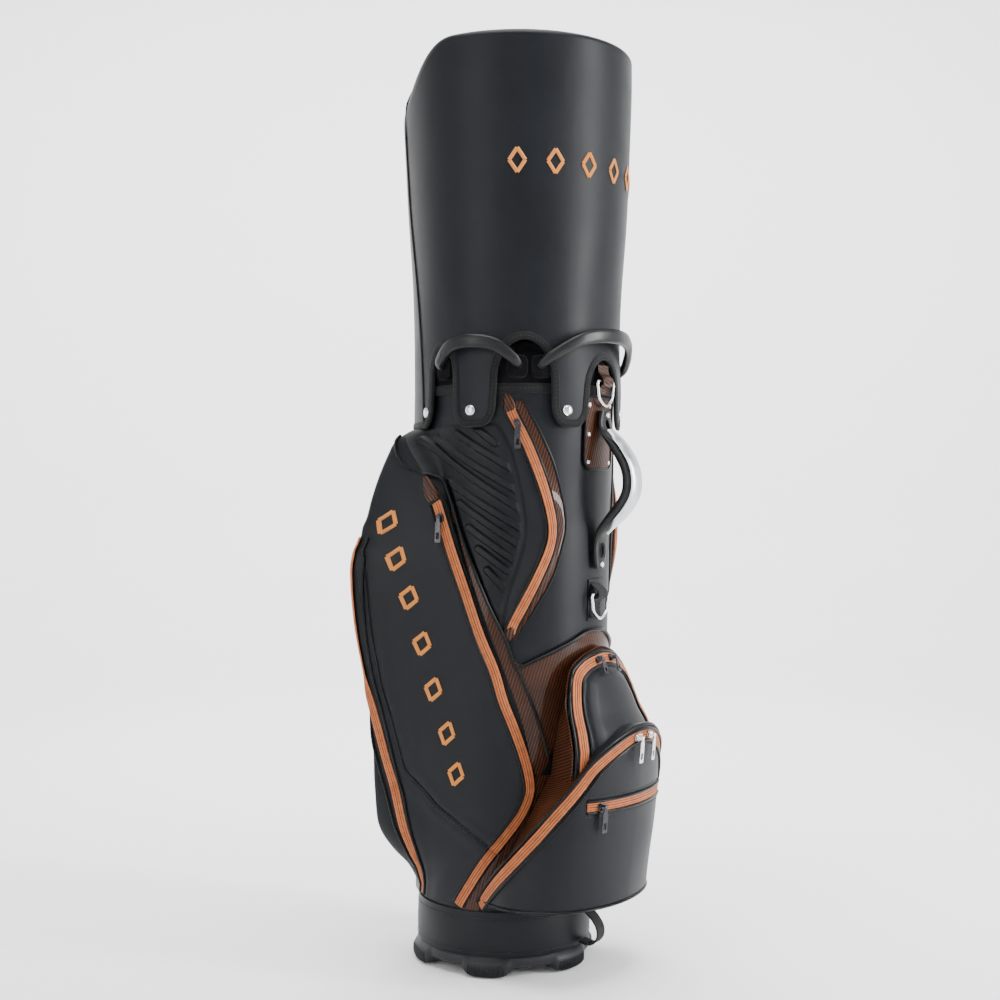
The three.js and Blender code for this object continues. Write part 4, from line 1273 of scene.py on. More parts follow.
# ---------------------------------------------------------------- ball pocket and garment pocket
LOWER_TRACK = 233
TRACK_DROP = 15  # from the ball pocket's top edge down to its upper zipper
ROOF_LEATHER = 26  # degrees from the front; beyond them the pocket's roof is twill
BALL_TRACK = (0, 6, 12, 18, 24, 29, 36, 43, 49, 55, 61, 66, 70)


def ball_relief(phi, z):
    """The ball pocket's wall: fuller towards its middle, drawn in at the sewn zippers."""
    away = np.abs(phi)
    top = ball_top(away)
    up = np.clip((z - BALL_BOTTOM) / np.maximum(top - BALL_BOTTOM, 20), 0, 1)
    middle = 1 - ramp(away, 30, BALL_EDGE)
    full = 1.8 * np.sin(np.pi * up) * middle
    low = -1.6 * hump(z - LOWER_TRACK, 8.0) * (1 - ramp(away, 24, 30))
    rim = -1.5 * hump(z - top + TRACK_DROP, 9.0)
    return ball_skin(phi, z) + full + low + rim + 0.7 * waves(phi, z, 9, 150) * middle


def build_ball_pocket():
    """The pocket in rows: from the tube out under it, up its wall and back over its roof to the tube."""
    columns, wall_rows = int(200 * DETAIL), int(80 * DETAIL)
    phi = np.linspace(-BALL_EDGE, BALL_EDGE, columns + 1)
    top = ball_top(np.abs(phi)) - 1
    base = tube_radius(BALL_BOTTOM) + 2.5
    rows = []
    for share, rise in ((0.0, -1), (0.5, -1.5), (0.9, -1.0), (0.955, 0.8), (0.985, 3.2)):
        wall = ball_relief(phi, BALL_BOTTOM + 6)
        rows.append((lerp(base, wall, share), np.full_like(phi, BALL_BOTTOM + rise)))
    low = BALL_BOTTOM + np.minimum(6, 0.4 * (top - BALL_BOTTOM))
    high = top - np.minimum(5, 0.4 * (top - BALL_BOTTOM))
    for v in np.linspace(0, 1, wall_rows + 1):
        z = lerp(low, high, v)
        rows.append((ball_relief(phi, z), z))
    back = tube_radius(top) + 3.5
    wall = ball_relief(phi, top - 5)
    depth = np.maximum(wall - back, 1.0)
    for inset, drop in ((0.6, 2.6), (2.2, 0.9), (4.8, 0.0), (9.0, -0.2)):
        rows.append((wall - np.minimum(inset, depth * 0.8), top - drop))
    for share in (0.35, 0.7, 1.0):
        rows.append((lerp(wall - np.minimum(9.0, depth * 0.8), back, share), top - 6 * math.sin(1.5 * share)))
    points = np.stack([at(phi, r, z) for r, z in rows])
    lay = np.stack([cloth_lay(phi * 1.5, z, r) for r, z in rows])
    roof = len(rows) - 8  # the wall's last row, where the roof's cloth begins
    edge = points[roof]
    for row in range(roof, len(rows)):
        lay[row, :, 0] = run_length(edge)
        lay[row, :, 1] = -np.linalg.norm(points[row] - edge, axis=1)
    pocket = Shape()
    pocket.shell(points[: roof + 1], 3.0, lay[: roof + 1])
    pocket.done("ball_pocket_leather", LEATHER, slot="soft_leather", replaces=["ball_pocket"])
    aside = columns // 2 - int(columns * ROOF_LEATHER / (2 * BALL_EDGE))
    gusset = Shape()
    for part in (slice(0, aside + 1), slice(columns - aside, columns + 1)):
        gusset.shell(points[roof:, part], 2.4, lay[roof:, part])
    gusset.done("ball_pocket_gusset", TWILL, slot="glossy_weave")
    lid = Shape()
    lid.shell(points[roof:, aside : columns - aside + 1], 2.4, lay[roof:, aside : columns - aside + 1])
    lid.done("ball_pocket_top", LEATHER, slot="soft_leather")

    zipper("ball_zipper", ball_relief, below_top(TRACK_DROP, BALL_TRACK), ["ball_zipper"])
    lower = [(p, LOWER_TRACK) for p in np.linspace(26, -26, 9)]
    zipper("ball_lower_zipper", ball_relief, lower, ["ball_lower_zipper"])
    threads = Shape()
    for z in (LOWER_TRACK + 12.5, LOWER_TRACK - 12.5):
        beside = along_route([(p, z) for p in np.linspace(27, -27, 9)], surface=ball_relief)
        stitch_line(threads, ball_relief, *beside, lift=0.3)
    beside = along_route(below_top(TRACK_DROP + 12, BALL_TRACK[:-1]))
    stitch_line(threads, ball_relief, *beside, lift=0.3)
    threads.done("ball_pocket_stitches", BLACK_THREAD, slot="soft_leather")

    seams = Shape()
    rim = along_route(below_top(1.2, BALL_TRACK))
    cord_on(seams, lambda p, z: ball_relief(p, z - 4) - 2.0, *rim, diameter=4.2)
    foot = both_ways([(p, BALL_BOTTOM + 3) for p in (0, 15, 30, 42, 50, 57, 64, 70.5)])
    cord_on(seams, ball_relief, *along_route(foot, surface=ball_relief), diameter=3.4, lift=0.0)
    seams.done("ball_pocket_piping", PIPING_LEATHER, slot="soft_leather")


def below_top(drop, places):
    """A line that follows the ball pocket's top edge, some millimetres below it."""
    return both_ways([(p, float(ball_top(p)) - drop) for p in places])


# Lines of (phi, z) from the middle out to the left
GARMENT_OUTLINE = [(0, 421.5), (7, 419), (15, 413), (24, 397), (28.6, 365), (29.4, 335), (29.8, 240)]
GARMENT_TRACK = [(0, 410), (7, 408), (15, 402), (22, 388), (25, 362), (25.8, 335), (26.2, 300), (26.3, 262)]
GARMENT_PIPING = [
    (0, 400.5), (6.6, 398.5), (13.2, 393), (18.8, 382), (21.6, 360), (22.3, 335), (22.6, 296), (22.6, 262),
]
garment_rim = curve(*GARMENT_OUTLINE)
# How far the gusset reaches beyond the rim, in millimetres by height
gusset_reach = curve((240, 3), (262, 4), (300, 7), (334, 15), (365, 24), (395, 27), (420, 17))


def garment_relief(phi, z):
    """The garment pocket's face: a crown inside its zipper's arch and a softly rounded rim."""
    depth = distance(GARMENT_OUTLINE, np.abs(phi), z)
    crown = 3.2 * ramp(depth, 17, 34) - 1.5 * hump(depth - 18.5, 3.0)
    return garment_radius(z) + crown - 1.6 * (1 - ramp(depth, 0, 3.5))


def garment_gusset():
    """Glossy twill that sweeps from the yoke up to the garment pocket's rim."""
    phi, z = along_route(both_ways(GARMENT_OUTLINE))
    ahead, climb = np.gradient(phi * ARC), np.gradient(z)
    length = np.hypot(ahead, climb)
    aside, above = -climb / length, ahead / length
    gone = np.cumsum(length)
    rows, lay = [], []
    for share in np.linspace(0, 1, 25):
        away = lerp(-2.5, gusset_reach(z), share)
        here, height = phi + aside * away / ARC, z + above * away
        fall = 1 - (1 - ramp(share, -0.12, 1.0)) ** 1.6
        r = lerp(garment_radius(z) - 1.5, yoke_skin(here, height) + 0.2, (fall - 0.05) / 0.95)
        rows.append(at(here, r, height))
        lay.append(np.stack([gone, away - r], -1) * MM)
    gusset = Shape()
    gusset.shell(np.stack(rows), 1.6, np.stack(lay))
    gusset.done("garment_pocket_gusset", TWILL, slot="glossy_weave")


def build_garment_pocket():
    """The half-round pocket in front, with its gusset, zipper and inner piping."""

    def place(u, v):
        s = 2 * u - 1
        phi = GARMENT_OUTLINE[-1][0] * np.sign(s) * (1 - (1 - np.abs(s)) ** 1.5)
        away = np.abs(phi)
        low = ball_top(away) - 26
        return phi, lerp(low, garment_rim(away), 1 - (1 - v) ** 1.5)

    garment_gusset()
    node = "garment_pocket"
    name = node + "_leather"
    sheet(name, garment_relief, (150, 110), place, 2.4, LEATHER, "soft_leather", replaces=[node])
    zipper("garment_zipper", garment_relief, both_ways(GARMENT_TRACK), ["garment_zipper"])
    inner = along_route(both_ways(GARMENT_PIPING))
    cord_piece(node + "_piping", garment_relief, inner, diameter=2.6, lift=0.3)


# ---------------------------------------------------------------- sliders and pull tabs
def plate_mesh(outlines, thick, bevel):
    """A flat plate with holes, its edges softened: points in millimetres and faces."""
    flat = bpy.data.curves.new("flat", "CURVE")
    flat.dimensions = "2D"
    flat.fill_mode = "BOTH"
    flat.extrude = thick / 2 - bevel
    flat.bevel_depth = bevel
    flat.bevel_resolution = 2
    flat.offset = -bevel
    for outline in outlines:
        line = flat.splines.new("POLY")
        line.points.add(len(outline) - 1)
        corners = [(x, y, 0, 1) for x, y in outline]
        line.points.foreach_set("co", np.array(corners, float).ravel())
        line.use_cyclic_u = True
    holder = bpy.data.objects.new("flat", flat)
    mesh = bpy.data.meshes.new_from_object(holder)
    points = np.array([v.co for v in mesh.vertices], float).reshape(-1, 3)
    faces = [tuple(p.vertices) for p in mesh.polygons]
    bpy.data.meshes.remove(mesh)
    bpy.data.objects.remove(holder)
    bpy.data.curves.remove(flat)
    return points, faces


PIN_HEIGHT = 9.4  # from a slider's tape to the pin its tab hangs from


def rounded(width, length, centre, power=5.0, sides=40):
    return round_outline(width, length, sides, power) + np.array([0, centre])


def pull_outline(length):
    """Half-width of a pull tab down its length: a round eye, a neck and a long square blade."""
    down = np.array([-2.6, -2.0, 0, 2.2, 4, 5.4, 7.0, length - 1.0, length - 0.3, length])
    half = np.array([1.1, 2.1, 2.7, 2.3, 2.1, 3.2, 3.7, 4.1, 3.9, 3.2])
    right = np.stack([half, down], -1)
    left = np.stack([-half[::-1], down[::-1]], -1)
    return np.concatenate([right, left])


# The sliders and their pins stand where the CAD solids have them, so they follow the CAD's surfaces.
def cad_side(phi, z):
    return side_skin(phi, z) + 0.5


def cad_ball(phi, z):
    return ball_skin(phi, z) + 0.4


def cad_garment(phi, z):
    return garment_radius(z) + 0.8 + 0 * phi


def cad_tube(phi, _):
    return TUBE_RADIUS + 0 * np.asarray(phi, float)


def slider_and_pull(name, surface, place, heading, finish, slot, pull_length=32.0):
    """A slider with its bridge on the tape, and the tab that hangs from the bridge's pin."""
    spots, outs = on_surface(surface, np.array([place[0], heading[0]]), np.array([place[1], heading[1]]))
    here, out = spots[0], outs[0]
    along = spots[1] - spots[0]
    along = unit(along - out * np.dot(along, out))
    across = np.cross(along, out)

    def world(points):
        points = np.asarray(points, float).reshape(-1, 3)
        return here + (points[:, :1] * across + points[:, 1:2] * along + points[:, 2:] * out) * MM

    slider = Shape()
    for width, length, low, thick in ((9.2, 13, 1.0, 1.7), (8.4, 12, 3.3, 1.5)):
        nose = rounded(width, length, 0, 3.2)
        nose[:, 0] *= 1 - 0.2 * (nose[:, 1] > 0) * np.abs(nose[:, 1]) / (length / 2)
        points, faces = plate_mesh([nose], thick, 0.35)
        points[:, 2] += low + thick / 2
        slider.add(world(points), faces)
    arch = [(0, -4.4, 4.2), (0, -3.6, 7.8), (0, -1.6, 9.9), (0, 1.6, 9.9), (0, 3.6, 7.8), (0, 4.4, 4.2)]
    path = smooth_path(world(arch), 0.8)
    slider.sweep(path, np.tile(across, (len(path), 1)), round_outline(1.3, 3.0, 12, 3))
    post = world([(0, 3.4, 1.5), (0, 3.4, 4.0)])
    slider.sweep(post, np.tile(across, (2, 1)), round_outline(3, 5, 10))
    slider.done(name + "_slider_metal", finish, name + "_slider", slot, [name + "_slider"])

    down = np.array([0.0, 0.0, -1.0])
    down = unit(down - out * np.dot(down, out))
    aside = np.cross(down, out)
    pin = here + out * PIN_HEIGHT * MM
    tab = Shape()
    eye = rounded(2.6, 2.6, 0, 2, 20)
    slot_low, slot_high = 0.60 * pull_length, 0.86 * pull_length
    window = rounded(4.0, slot_high - slot_low, (slot_high + slot_low) / 2, 8)
    points, faces = plate_mesh([pull_outline(pull_length), eye[::-1], window[::-1]], 1.7, 0.3)
    tab.add(pin + (points[:, :1] * aside + points[:, 1:2] * down + points[:, 2:] * out) * MM, faces)
    bar = np.stack([pin - aside * 2.4 * MM, pin + aside * 2.4 * MM])
    tab.sweep(bar, np.tile(out, (2, 1)), round_outline(1.5, 1.5, 10))
    tab.done(name + "_pull_tab", finish, name + "_pull", slot, [name + "_pull"])


def build_pulls():
    """Each slider stands at the first place of a pair and is turned towards the second."""
    dark = (GUNMETAL, "gunmetal")
    for hand, side in SIDES:
        front = [(side * (float(side_front(h)) - TRACK_AHEAD), h) for h in (592, 554)]
        slider_and_pull("side_zipper_" + hand, cad_side, *front, *dark)
        upper = [(side * float(upper_track(h)), h) for h in (712, 690)]
        slider_and_pull("upper_zipper_" + hand, cad_tube, *upper, *dark)
        ball = [(side * p, float(ball_top(p)) - TRACK_DROP) for p in (4, 10)]
        slider_and_pull("ball_zipper_" + hand, cad_ball, *ball, SILVER, "silver")
        garment = [(side * 6, 408.5), (side * 12, 405)]
        slider_and_pull("garment_zipper_" + hand, cad_garment, *garment, *dark, pull_length=20.0)
    slider_and_pull("ball_lower_zipper", cad_ball, (20, LOWER_TRACK), (14, LOWER_TRACK), *dark)


STUD_RINGS = (  # share of the stud's radius and of its height, from the rim to the crown
    (1.0, -0.6), (1.0, 0.25), (0.93, 0.45), (0.86, 0.4), (0.8, 0.5), (0.68, 0.78), (0.45, 0.95), (0.2, 1.0),
)


def stud(shape, centre, out, radius, height, steps=24):
    """A domed rivet or snap on a low rim."""
    out = unit(out)
    side_way = unit(np.cross(out, [0.0, 0.0, 1.0]))
    up = np.cross(side_way, out)
    turn = np.arange(steps) / steps * 2 * math.pi
    round_it = np.cos(turn)[:, None] * side_way + np.sin(turn)[:, None] * up
    points = []
    for share, lift in STUD_RINGS:
        ring = round_it * radius * share + out * height * lift
        points.append(centre + ring * MM)
    faces = ring_faces(len(STUD_RINGS), steps)
    faces.append(tuple(range(steps))[::-1])
    last = (len(STUD_RINGS) - 1) * steps
    faces.append(tuple(range(last, last + steps)))
    shape.add(np.concatenate(points), faces)


# ---------------------------------------------------------------- carry handle and rings
HANDLE_PLACES = (  # height and distance from the axis, from the top end down
    (731, 138.5), (715, 139), (702, 144), (688, 156), (672, 168), (656, 177), (640, 180.5), (624, 179),
    (608, 170), (590, 154), (576, 142.5), (563, 137.5), (540, 136.5), (526, 136.5),
)
HANDLE_HOLES = ((712, 16), (549, 17))  # height and length of the oval holes through its ends
HANDLE_RIVETS = ((531, 141.0), (725, 143.4))  # height and distance from the axis
TRIM_OUTLINE = (
    (-1, -0.4), (-0.97, 1.2), (-0.8, 2.4), (-0.4, 3.1), (0, 3.3), (0.4, 3.1), (0.8, 2.4), (0.97, 1.2),
    (1, -0.4),
)
grip_wide = curve((526, 20), (549, 28), (600, 27), (680, 27), (712, 30), (731, 22))
grip_deep = curve((526, 8), (560, 8), (600, 16), (680, 16), (708, 8), (731, 8))


def build_carry_handle():
    """The bowed grip, its bright trim, and the holes and rivets at its ends."""
    path = smooth_path([at(0, r, z) for z, r in HANDLE_PLACES], 2.0)
    height = path[:, 2] / MM
    out = radial(path)
    grip = Shape()
    sizes = np.stack([grip_wide(height), grip_deep(height)], -1)
    grip.sweep(path, out, round_outline(1, 1, 28, 2.7), size=sizes)
    bar = grip.done("carry_handle_moulding", MOULDED, slot="moulded_black", replaces=["carry_handle_grip"])
    for z, length in HANDLE_HOLES:
        pierce(bar, at(0, 138, z), (0, -1, 0), 8.5, length)

    lips = Shape()
    for z, length in HANDLE_HOLES:
        turn = np.linspace(0, 2 * math.pi, 40, endpoint=False)
        centre = at(0, 138, z) + np.array([0, -3.9, 0]) * MM
        ring = centre + np.stack([np.cos(turn) * 4.9, 0 * turn, np.sin(turn) * (length / 2 + 0.8)], -1) * MM
        lips.sweep(ring, np.tile([0.0, -1.0, 0.0], (40, 1)), round_outline(1.4, 1.2, 8), loop=True)
    lips.done("carry_handle_hole_lips", MOULDED, slot="moulded_black")

    strip = smooth_path([at(0, r, z) for z, r in HANDLE_PLACES[2:11]], 2.0)
    t = np.linspace(0, 1, len(strip))
    height = strip[:, 2] / MM
    along = unit(np.gradient(strip, axis=0))
    out = square_to(along, radial(strip))
    strip = strip + out * (grip_deep(height) / 2 - 0.4)[:, None] * MM
    taper = (0.55 + 0.45 * ramp(t, 0, 0.12)) * (1 - 0.8 * ramp(t, 0.78, 1.0) ** 1.5)
    sizes = np.stack([0.47 * grip_wide(height) * taper, np.ones_like(t)], -1)
    trim = Shape()
    trim.sweep(strip, out, TRIM_OUTLINE, size=sizes)
    trim.done("carry_handle_silver", SATIN_SILVER, slot="silver", replaces=["carry_handle_trim"])

    studs = Shape()
    for z, r in HANDLE_RIVETS:
        stud(studs, at(0, r, z), np.array([0.0, -1.0, 0.0]), 3.6, 1.8)
    studs.done("carry_handle_rivets", SILVER, slot="silver")


def build_handle_plate():
    """The glossy plate on the tube behind the carry handle, with its edging and rivets."""

    def place(u, v):
        z = lerp(655, 748, v)
        corner = 1 - np.clip(np.abs(2 * v - 1) - 0.72, 0, 1) / 0.28
        half = 14 - 5.5 * (1 - np.sqrt(np.clip(1 - (1 - corner) ** 2, 0, 1)))
        return (2 * u - 1) * half, z

    points, lay = grid_of(lambda phi, z: TUBE_RADIUS + 3.2 + 0 * phi, 40, 60, place)
    plate = Shape()
    plate.shell(points, 2.2, lay)
    plate.done("handle_plate_twill", TWILL, slot="glossy_weave", replaces=["handle_plate"])
    edge = np.concatenate([points[0], points[1:, -1], points[-1, -2::-1], points[-2:0:-1, 0]])
    border = Shape()
    border.sweep(edge, radial(edge), round_outline(2.6, 3.0, 10), loop=True)
    border.done("handle_plate_edge", PIPING_LEATHER, slot="soft_leather")
    rivets = Shape()
    for phi, z in ((-11, 664), (11, 664), (-11, 738), (11, 738), (-11, 700), (11, 700)):
        stud(rivets, at(phi, TUBE_RADIUS + 3.3, z), radial(at(phi, 1, z)[None])[0] * 1.0, 2.9, 1.5)
    rivets.done("handle_plate_rivets", SILVER, slot="silver")


def pierce(piece, centre, direction, width, length):
    """Cuts an oval hole right through a piece."""
    hole = Shape()
    direction = np.array(direction, float)
    path = np.stack([centre - direction * 14 * MM, centre + direction * 14 * MM])
    hole.sweep(path, np.tile([0.0, 0.0, 1.0], (2, 1)), round_outline(width, length, 32, 2.3))
    cutter = hole.done("cutter", MOULDED)
    cut = piece.modifiers.new("cut", "BOOLEAN")
    cut.operation = "DIFFERENCE"
    cut.object = cutter
    cut.solver = "EXACT"
    bpy.context.view_layer.update()
    held = piece.evaluated_get(bpy.context.evaluated_depsgraph_get())
    mesh = bpy.data.meshes.new_from_object(held)
    piece.modifiers.clear()
    piece.data = mesh
    mesh.set_sharp_from_angle(angle=math.radians(35))
    bpy.data.objects.remove(cutter)


def d_ring(name, bar_height):
    """A welded wire D that hangs from its straight bar."""
    bar = at(0, RING_RADIUS, bar_height)
    half, height = 18, 31
    corner = half * 0.8
    outline = [
        (-half, 0), (0, 0), (half, 0), (half, -12), (corner, -23), (0, -height), (-corner, -23), (-half, -12),
    ]
    path = smooth_path([bar + np.array([x, 0, z]) * MM for x, z in outline], 1.2, loop=True)
    ring = Shape()
    ring.sweep(path, np.tile([0.0, -1.0, 0.0], (len(path), 1)), round_outline(4.4, 4.4, 16), loop=True)
    ring.done(name + "_wire", SILVER, name, "silver", [name])


def ring_tab(name, low, high, bar, radius, material, slot):
    """A tab sewn to the bag at both ends and folded over a D-ring's bar."""
    places = [
        (radius, low), (radius + 0.4, bar - 9), (RING_RADIUS + 4, bar - 3), (RING_RADIUS + 4.8, bar + 1),
        (RING_RADIUS + 3, bar + 5), (radius + 1, bar + 12), (radius, high),
    ]
    path = smooth_path([at(0, r, z) for r, z in places], 1.5)
    tab = Shape()
    tab.sweep(path, radial(path), round_outline(24, 2.2, 16, 6))
    tab.done(name + "_fold", material, slot=slot, replaces=[name])
    edge_stitches(name + "_stitches", path, 9.8, 1.0)


def build_rings():
    """Both D-rings, their folded tabs and the patch under the lower one."""
    d_ring("strap_ring_upper", UPPER_RING)
    d_ring("strap_ring_lower", LOWER_RING)
    ring_tab("ring_tab_upper", 752, 790, UPPER_RING, 135, TWILL, "glossy_weave")
    ring_tab("ring_tab_lower", 462, 506, LOWER_RING, 132, WEBBING, "webbing")

    def place(u, v):
        return (2 * u - 1) * 7.0, lerp(458, 512, v)

    def skin(phi, _):
        return TUBE_RADIUS + 1.7 + 0 * phi

    sheet("ring_tab_lower_patch", skin, (24, 40), place, 1.6, PIPING_LEATHER, "soft_leather")


# ---------------------------------------------------------------- hood
HOOD_WALL = 2.6


def hood_run(phi, hem):
    """One upright run of the hood, hem to crown: radius and height."""
    corner = hood_corner(phi)
    shoulder = TOTAL_HEIGHT - corner
    rows = []
    for v in 1 - (1 - np.linspace(0, 1, int(150 * DETAIL) + 1)) ** 1.25:
        z = lerp(hem, shoulder, v)
        rows.append((hood_skin(phi, z), z))
    edge = hood_skin(phi, shoulder)
    for turn in np.linspace(0, 90, 22)[1:]:
        rows.append((edge - corner + corner * cosd(turn), shoulder + corner * sind(turn)))
    last = edge - corner
    for share in np.linspace(0, 1, int(26 * DETAIL) + 1)[1:-1]:
        dip = 2.2 * math.sin(math.pi * share) * (0.6 + 0.4 * np.cos(np.radians(2 * phi)))
        rows.append((last * (1 - share), TOTAL_HEIGHT - dip))
    rows.append((last * 0 + 0.6, TOTAL_HEIGHT - 0.2 + 0 * last))
    return rows


def hem_line():
    """Even steps along the hood's lower edge, up and down round its cuts."""
    phi = np.linspace(-180, 180, 14401)[:-1]
    z = hood_hem(phi)
    length = np.concatenate([[0], np.cumsum(np.hypot(np.diff(phi) * ARC, np.diff(z)))])
    even = np.linspace(0, length[-1], int(length[-1] / 2.4))
    return np.interp(even, length, phi), np.interp(even, length, z)


def hood_seam():
    """The sewn seam that climbs one side of the hood, crosses its crown and comes down the other side."""
    heights = np.linspace(714, 1108, 90)
    climb = curve((709, 116.5), (800, 120), (950, 127), (1041, 130), (1110, 131))
    phi = climb(heights)
    up = at(phi, hood_skin(phi, heights) + 0.3, heights)
    x_end, y_end = up[-1, 0], up[-1, 1]
    y = y_end / MM + LEAN
    over = []
    for x in np.linspace(x_end, -x_end, 130)[1:-1] / MM:
        phi_here = math.degrees(math.atan2(-x, -y))
        r = math.hypot(x, y)
        corner = float(hood_corner(phi_here))
        top = TOTAL_HEIGHT - corner
        inset = max(r - (float(hood_skin(phi_here, top)) - corner), 0)
        over.append([x, y - LEAN, top + math.sqrt(max(corner**2 - inset**2, 0)) + 0.3])
    down = up[::-1] * [-1, 1, 1]
    return np.concatenate([up, np.array(over) * MM, down])


def build_hood():
    """The hood's leather, the binding of its hem, the seam over its crown and the six snaps."""
    fine = [np.arange(0, 180, 2.0 / DETAIL)]
    drop = 1 - np.sqrt(1 - np.linspace(0, 1, 14) ** 2)
    for middle, half, _, _ in HOOD_CUTS:
        lean = half + CUT_SIDE * np.array([0.5, 1])
        away = np.concatenate([half * (1 - drop), lean, half + CUT_SIDE + TAB_WIDE * drop])
        for side in (-1, 1):
            fine.append(np.abs(middle + side * away))
    half = np.unique(np.round(np.concatenate(fine), 2))
    half = half[np.concatenate([[True], np.diff(half) > 0.1])]
    columns = np.concatenate([-half[half > 0][::-1], half, [180]])
    rows = hood_run(columns, hood_hem(columns))
    points = np.stack([at(columns, r, z) for r, z in rows])
    lay = np.stack([np.stack(np.broadcast_arrays(columns * ARC, z, r), -1) * MM for r, z in rows])
    out = grid_normals(points, wrap=True)
    out[-1] = [0, 0, 1]
    hood = Shape()
    hood.shell(points, HOOD_WALL, lay, wrap=True, out=out)
    hood.done("hood_leather", LEATHER, "hood", "soft_leather", ["hood_shell"], sharp=50)

    phi, z = hem_line()
    path, out = on_surface(hood_skin, phi, z)
    along = unit(np.roll(path, -1, 0) - np.roll(path, 1, 0))
    side = np.cross(along, out)
    into = 1.0 if side[0, 2] > 0 else -1.0
    band = Shape()
    outline = round_outline(10.5, 5.0, 16, 3.4) + np.array([into * 4.0, -1.2])
    band.sweep(path, out, outline, loop=True)
    band.done("hood_binding", BINDING, "hood", "webbing")
    threads = Shape()
    stitches(threads, path + side * into * 4.2 * MM + out * 1.25 * MM, out, 3.2, 2.0, 0.9, 0.1)
    threads.done("hood_binding_stitches", BLACK_THREAD, "hood", "webbing")

    seam = Shape()
    line = smooth_path(hood_seam()[::3], 3)
    away = unit(line - np.array([0, -LEAN * MM, 1.0]))
    seam.sweep(line, away, round_outline(3.4, 3.4, 10))
    seam.done("hood_seam_piping", PIPING_LEATHER, "hood", "soft_leather")

    for hand, side_way in SIDES:
        for place, phi_snap in (("front", 28), ("side", 81), ("back", 114)):
            angle = side_way * phi_snap
            snap = Shape()
            out = radial(at(angle, 1, SNAP_HEIGHT)[None])[0]
            centre = at(angle, float(hood_skin(angle, SNAP_HEIGHT)) + 0.2, SNAP_HEIGHT)
            stud(snap, centre, out, 6.6, 2.8, 36)
            name = "hood_snap_" + place + "_" + hand
            snap.done(name + "_cap", SILVER, "hood", "silver", [name])


# ---------------------------------------------------------------- embroidered motifs
THREAD_PITCH = 0.75
MOTIF_SIZE = 30
SIDE_MOTIFS = ((119, 586), (113.5, 539), (108.5, 489), (103.4, 430), (98.7, 371), (91.4, 315), (86, 263))


def satin_stroke(shape, surface, centre, start, end, width, turn):
    """A bar of close threads laid across its length, standing a little proud of the leather."""
    phi0, z0 = centre
    length = math.hypot(end[0] - start[0], end[1] - start[1])
    ux, uy = (end[0] - start[0]) / length, (end[1] - start[1]) / length
    c, s = math.cos(math.radians(turn)), math.sin(math.radians(turn))
    for k in range(int(length / THREAD_PITCH)):
        t = (k + 0.5) * THREAD_PITCH
        px, py = start[0] + ux * t, start[1] + uy * t
        a = np.linspace(-0.5, 0.5, 5) * width
        x, y = px - uy * a, py + ux * a
        x, y = x * c - y * s, x * s + y * c
        reach = float(surface(phi0, z0))
        phi = phi0 - np.degrees(x / reach)
        path, out = on_surface(surface, phi, z0 + y, 0.5)
        path = path + out * (0.75 * (1 - (2 * a / width) ** 2))[:, None] * MM
        shape.sweep(path, out, round_outline(0.95, 0.9, 6))


def motif(shape, surface, phi, z, turn):
    """A plain lozenge."""
    w, h = 0.34 * MOTIF_SIZE, 0.5 * MOTIF_SIZE
    corners = [(0, h), (w, 0), (0, -h), (-w, 0)]
    for a, b in zip(corners, corners[1:] + corners[:1]):
        satin_stroke(shape, surface, (phi, z), a, b, 4.6, turn)


def build_embroidery():
    """A row of lozenges round the hood and one down each side pocket."""
    for k in range(-3, 4):
        row = Shape()
        motif(row, hood_skin, 18.6 * k, 1041, 0)
        row.done("hood_motif_%d" % (k + 4), THREAD, "hood", "soft_leather")
    for hand, side in SIDES:
        for k, (phi, z) in enumerate(SIDE_MOTIFS):
            row = Shape()
            motif(row, side_relief, side * phi, z, side * -14)
            row.done("side_pocket_motif_%s_%d" % (hand, k + 1), THREAD, slot="soft_leather")


# ---------------------------------------------------------------- the whole bag
def build_bag():
    build_tube()
    build_rim()
    build_cuff()
    build_cuff_handles()
    build_base()
    dress(frame["nodes"]["divider_sleeves"], NYLON)
    for hand, side in SIDES:
        build_side_pocket(hand, side)
        build_rib_panel(hand, side)
        build_foot_strip(hand, side)
        build_upper_pocket(hand, side)
    build_yoke()
    build_ball_pocket()
    build_garment_pocket()
    build_pulls()
    build_carry_handle()
    build_handle_plate()
    build_rings()
    build_hood()
    build_embroidery()


# ---------------------------------------------------------------- stage, camera and lights
def build_stage():
    """A pale round floor whose rim curves up far outside the object."""
    columns = 96
    angle = np.arange(columns) * 360 / columns
    profile = [(0.05, 0), (1.5, 0), (2.9, 0), (3.3, 0.05), (3.65, 0.25), (3.9, 0.6), (4.0, 1.1), (4.05, 3.2)]
    rings = [np.stack([r * cosd(angle), r * sind(angle), z + 0 * angle], -1) for r, z in profile]
    faces = [tuple(range(columns))] + ring_faces(len(profile), columns)
    mesh = bpy.data.meshes.new("floor")
    mesh.from_pydata(np.concatenate(rings).tolist(), [], faces)
    mesh.shade_smooth()
    pale = Shader("pale_floor", (0.86, 0.86, 0.86), 0.9)
    mesh.materials.append(pale.material)
    floor = bpy.data.objects.new("floor", mesh)
    bpy.context.scene.collection.objects.link(floor)


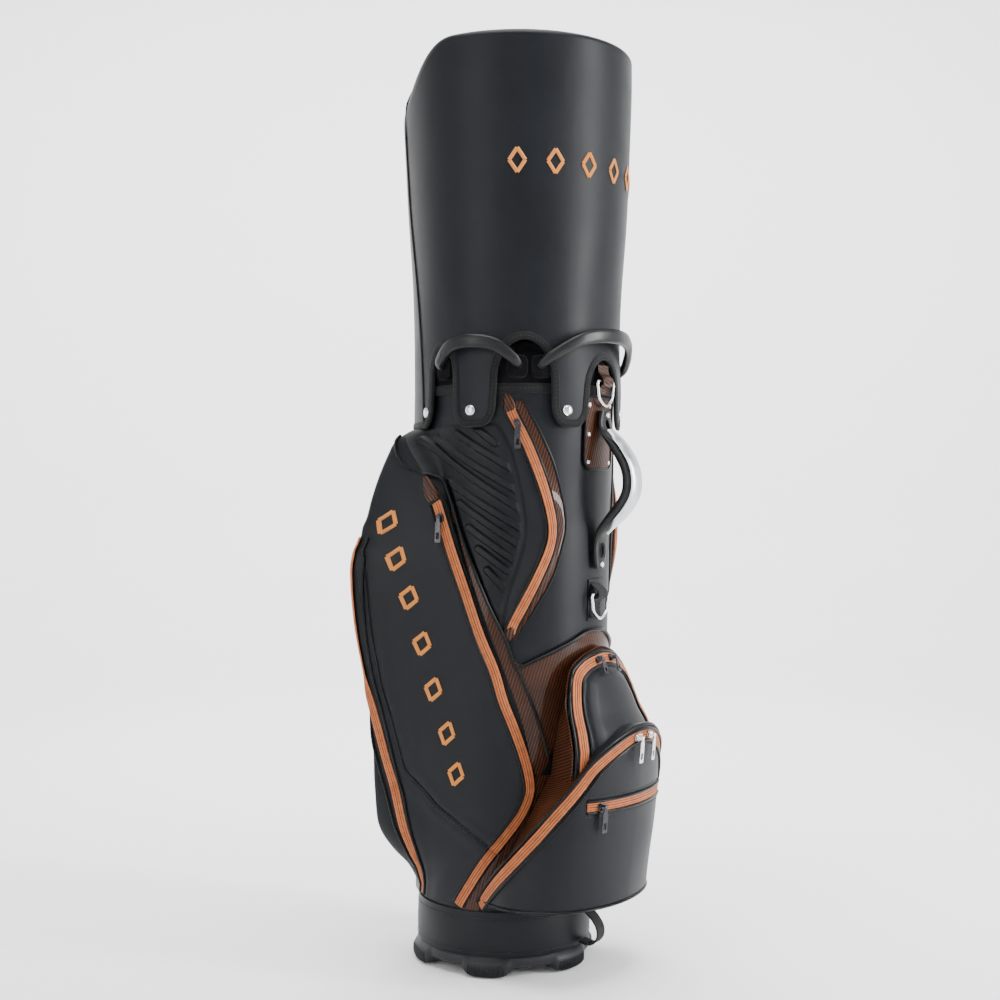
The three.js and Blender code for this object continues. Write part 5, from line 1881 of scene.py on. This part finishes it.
def area_light(name, place, target, width, height, power, color=(1, 1, 1)):
    light = bpy.data.lights.new(name, "AREA")
    light.shape = "RECTANGLE"
    light.size, light.size_y = width, height
    light.energy = power
    light.color = color
    lamp = bpy.data.objects.new(name, light)
    lamp.location = place
    lamp.rotation_mode = "QUATERNION"
    lamp.rotation_quaternion = (Vector(target) - Vector(place)).to_track_quat("-Z", "Y")
    bpy.context.scene.collection.objects.link(lamp)


CAMERA_DISTANCE = 1.990
CAMERA_HEIGHT = 0.615
CAMERA_TURN = 55  # degrees from the front towards -X
CAMERA_ASIDE = 0.004  # metres to the left of the axis
CAMERA_LENS = 52.5
CAMERA_SENSOR = 36
WORLD_STRENGTH = 0.37


def build_camera():
    """The photo's camera. Returns its level directions away from the bag and to its right."""
    data = bpy.data.cameras.new("camera")
    data.lens = CAMERA_LENS
    data.sensor_width = CAMERA_SENSOR
    camera = bpy.data.objects.new("camera", data)
    back = Vector((-sind(CAMERA_TURN), -cosd(CAMERA_TURN), 0))
    right = Vector((cosd(CAMERA_TURN), -sind(CAMERA_TURN), 0))
    camera.location = back * CAMERA_DISTANCE - right * CAMERA_ASIDE + Vector((0, 0, CAMERA_HEIGHT))
    camera.rotation_mode = "QUATERNION"
    camera.rotation_quaternion = (-back).to_track_quat("-Z", "Y")
    bpy.context.scene.collection.objects.link(camera)
    bpy.context.scene.camera = camera
    return back, right


def build_lights(back, right):
    """A tall key on the right, a weak fill and edge on the left, one overhead, one for the backdrop."""
    up = Vector((0, 0, 1))
    middle = (0, 0, 0.62)
    area_light("key", back * 0.75 + right * 2.3 + up * 1.2, middle, 0.4, 2.2, 105)
    area_light("fill", back * 1.9 - right * 1.5 + up * 1.1, middle, 1.0, 2.2, 22)
    area_light("edge", back * -1.0 - right * 2.2 + up * 1.2, middle, 0.5, 2.0, 7)
    area_light("top", back * 0.4 + up * 2.9, middle, 1.8, 1.8, 105)
    backdrop = back * -3.6 + up * 0.6
    area_light("backdrop", back * -1.3 + up * 2.9, backdrop, 2.4, 1.0, 230)
    world = bpy.data.worlds.new("studio")
    world.use_nodes = True
    background = world.node_tree.nodes["Background"]
    background.inputs["Color"].default_value = (1, 1, 1, 1)
    background.inputs["Strength"].default_value = WORLD_STRENGTH
    bpy.context.scene.world = world


build_bag()
build_stage()
build_lights(*build_camera())
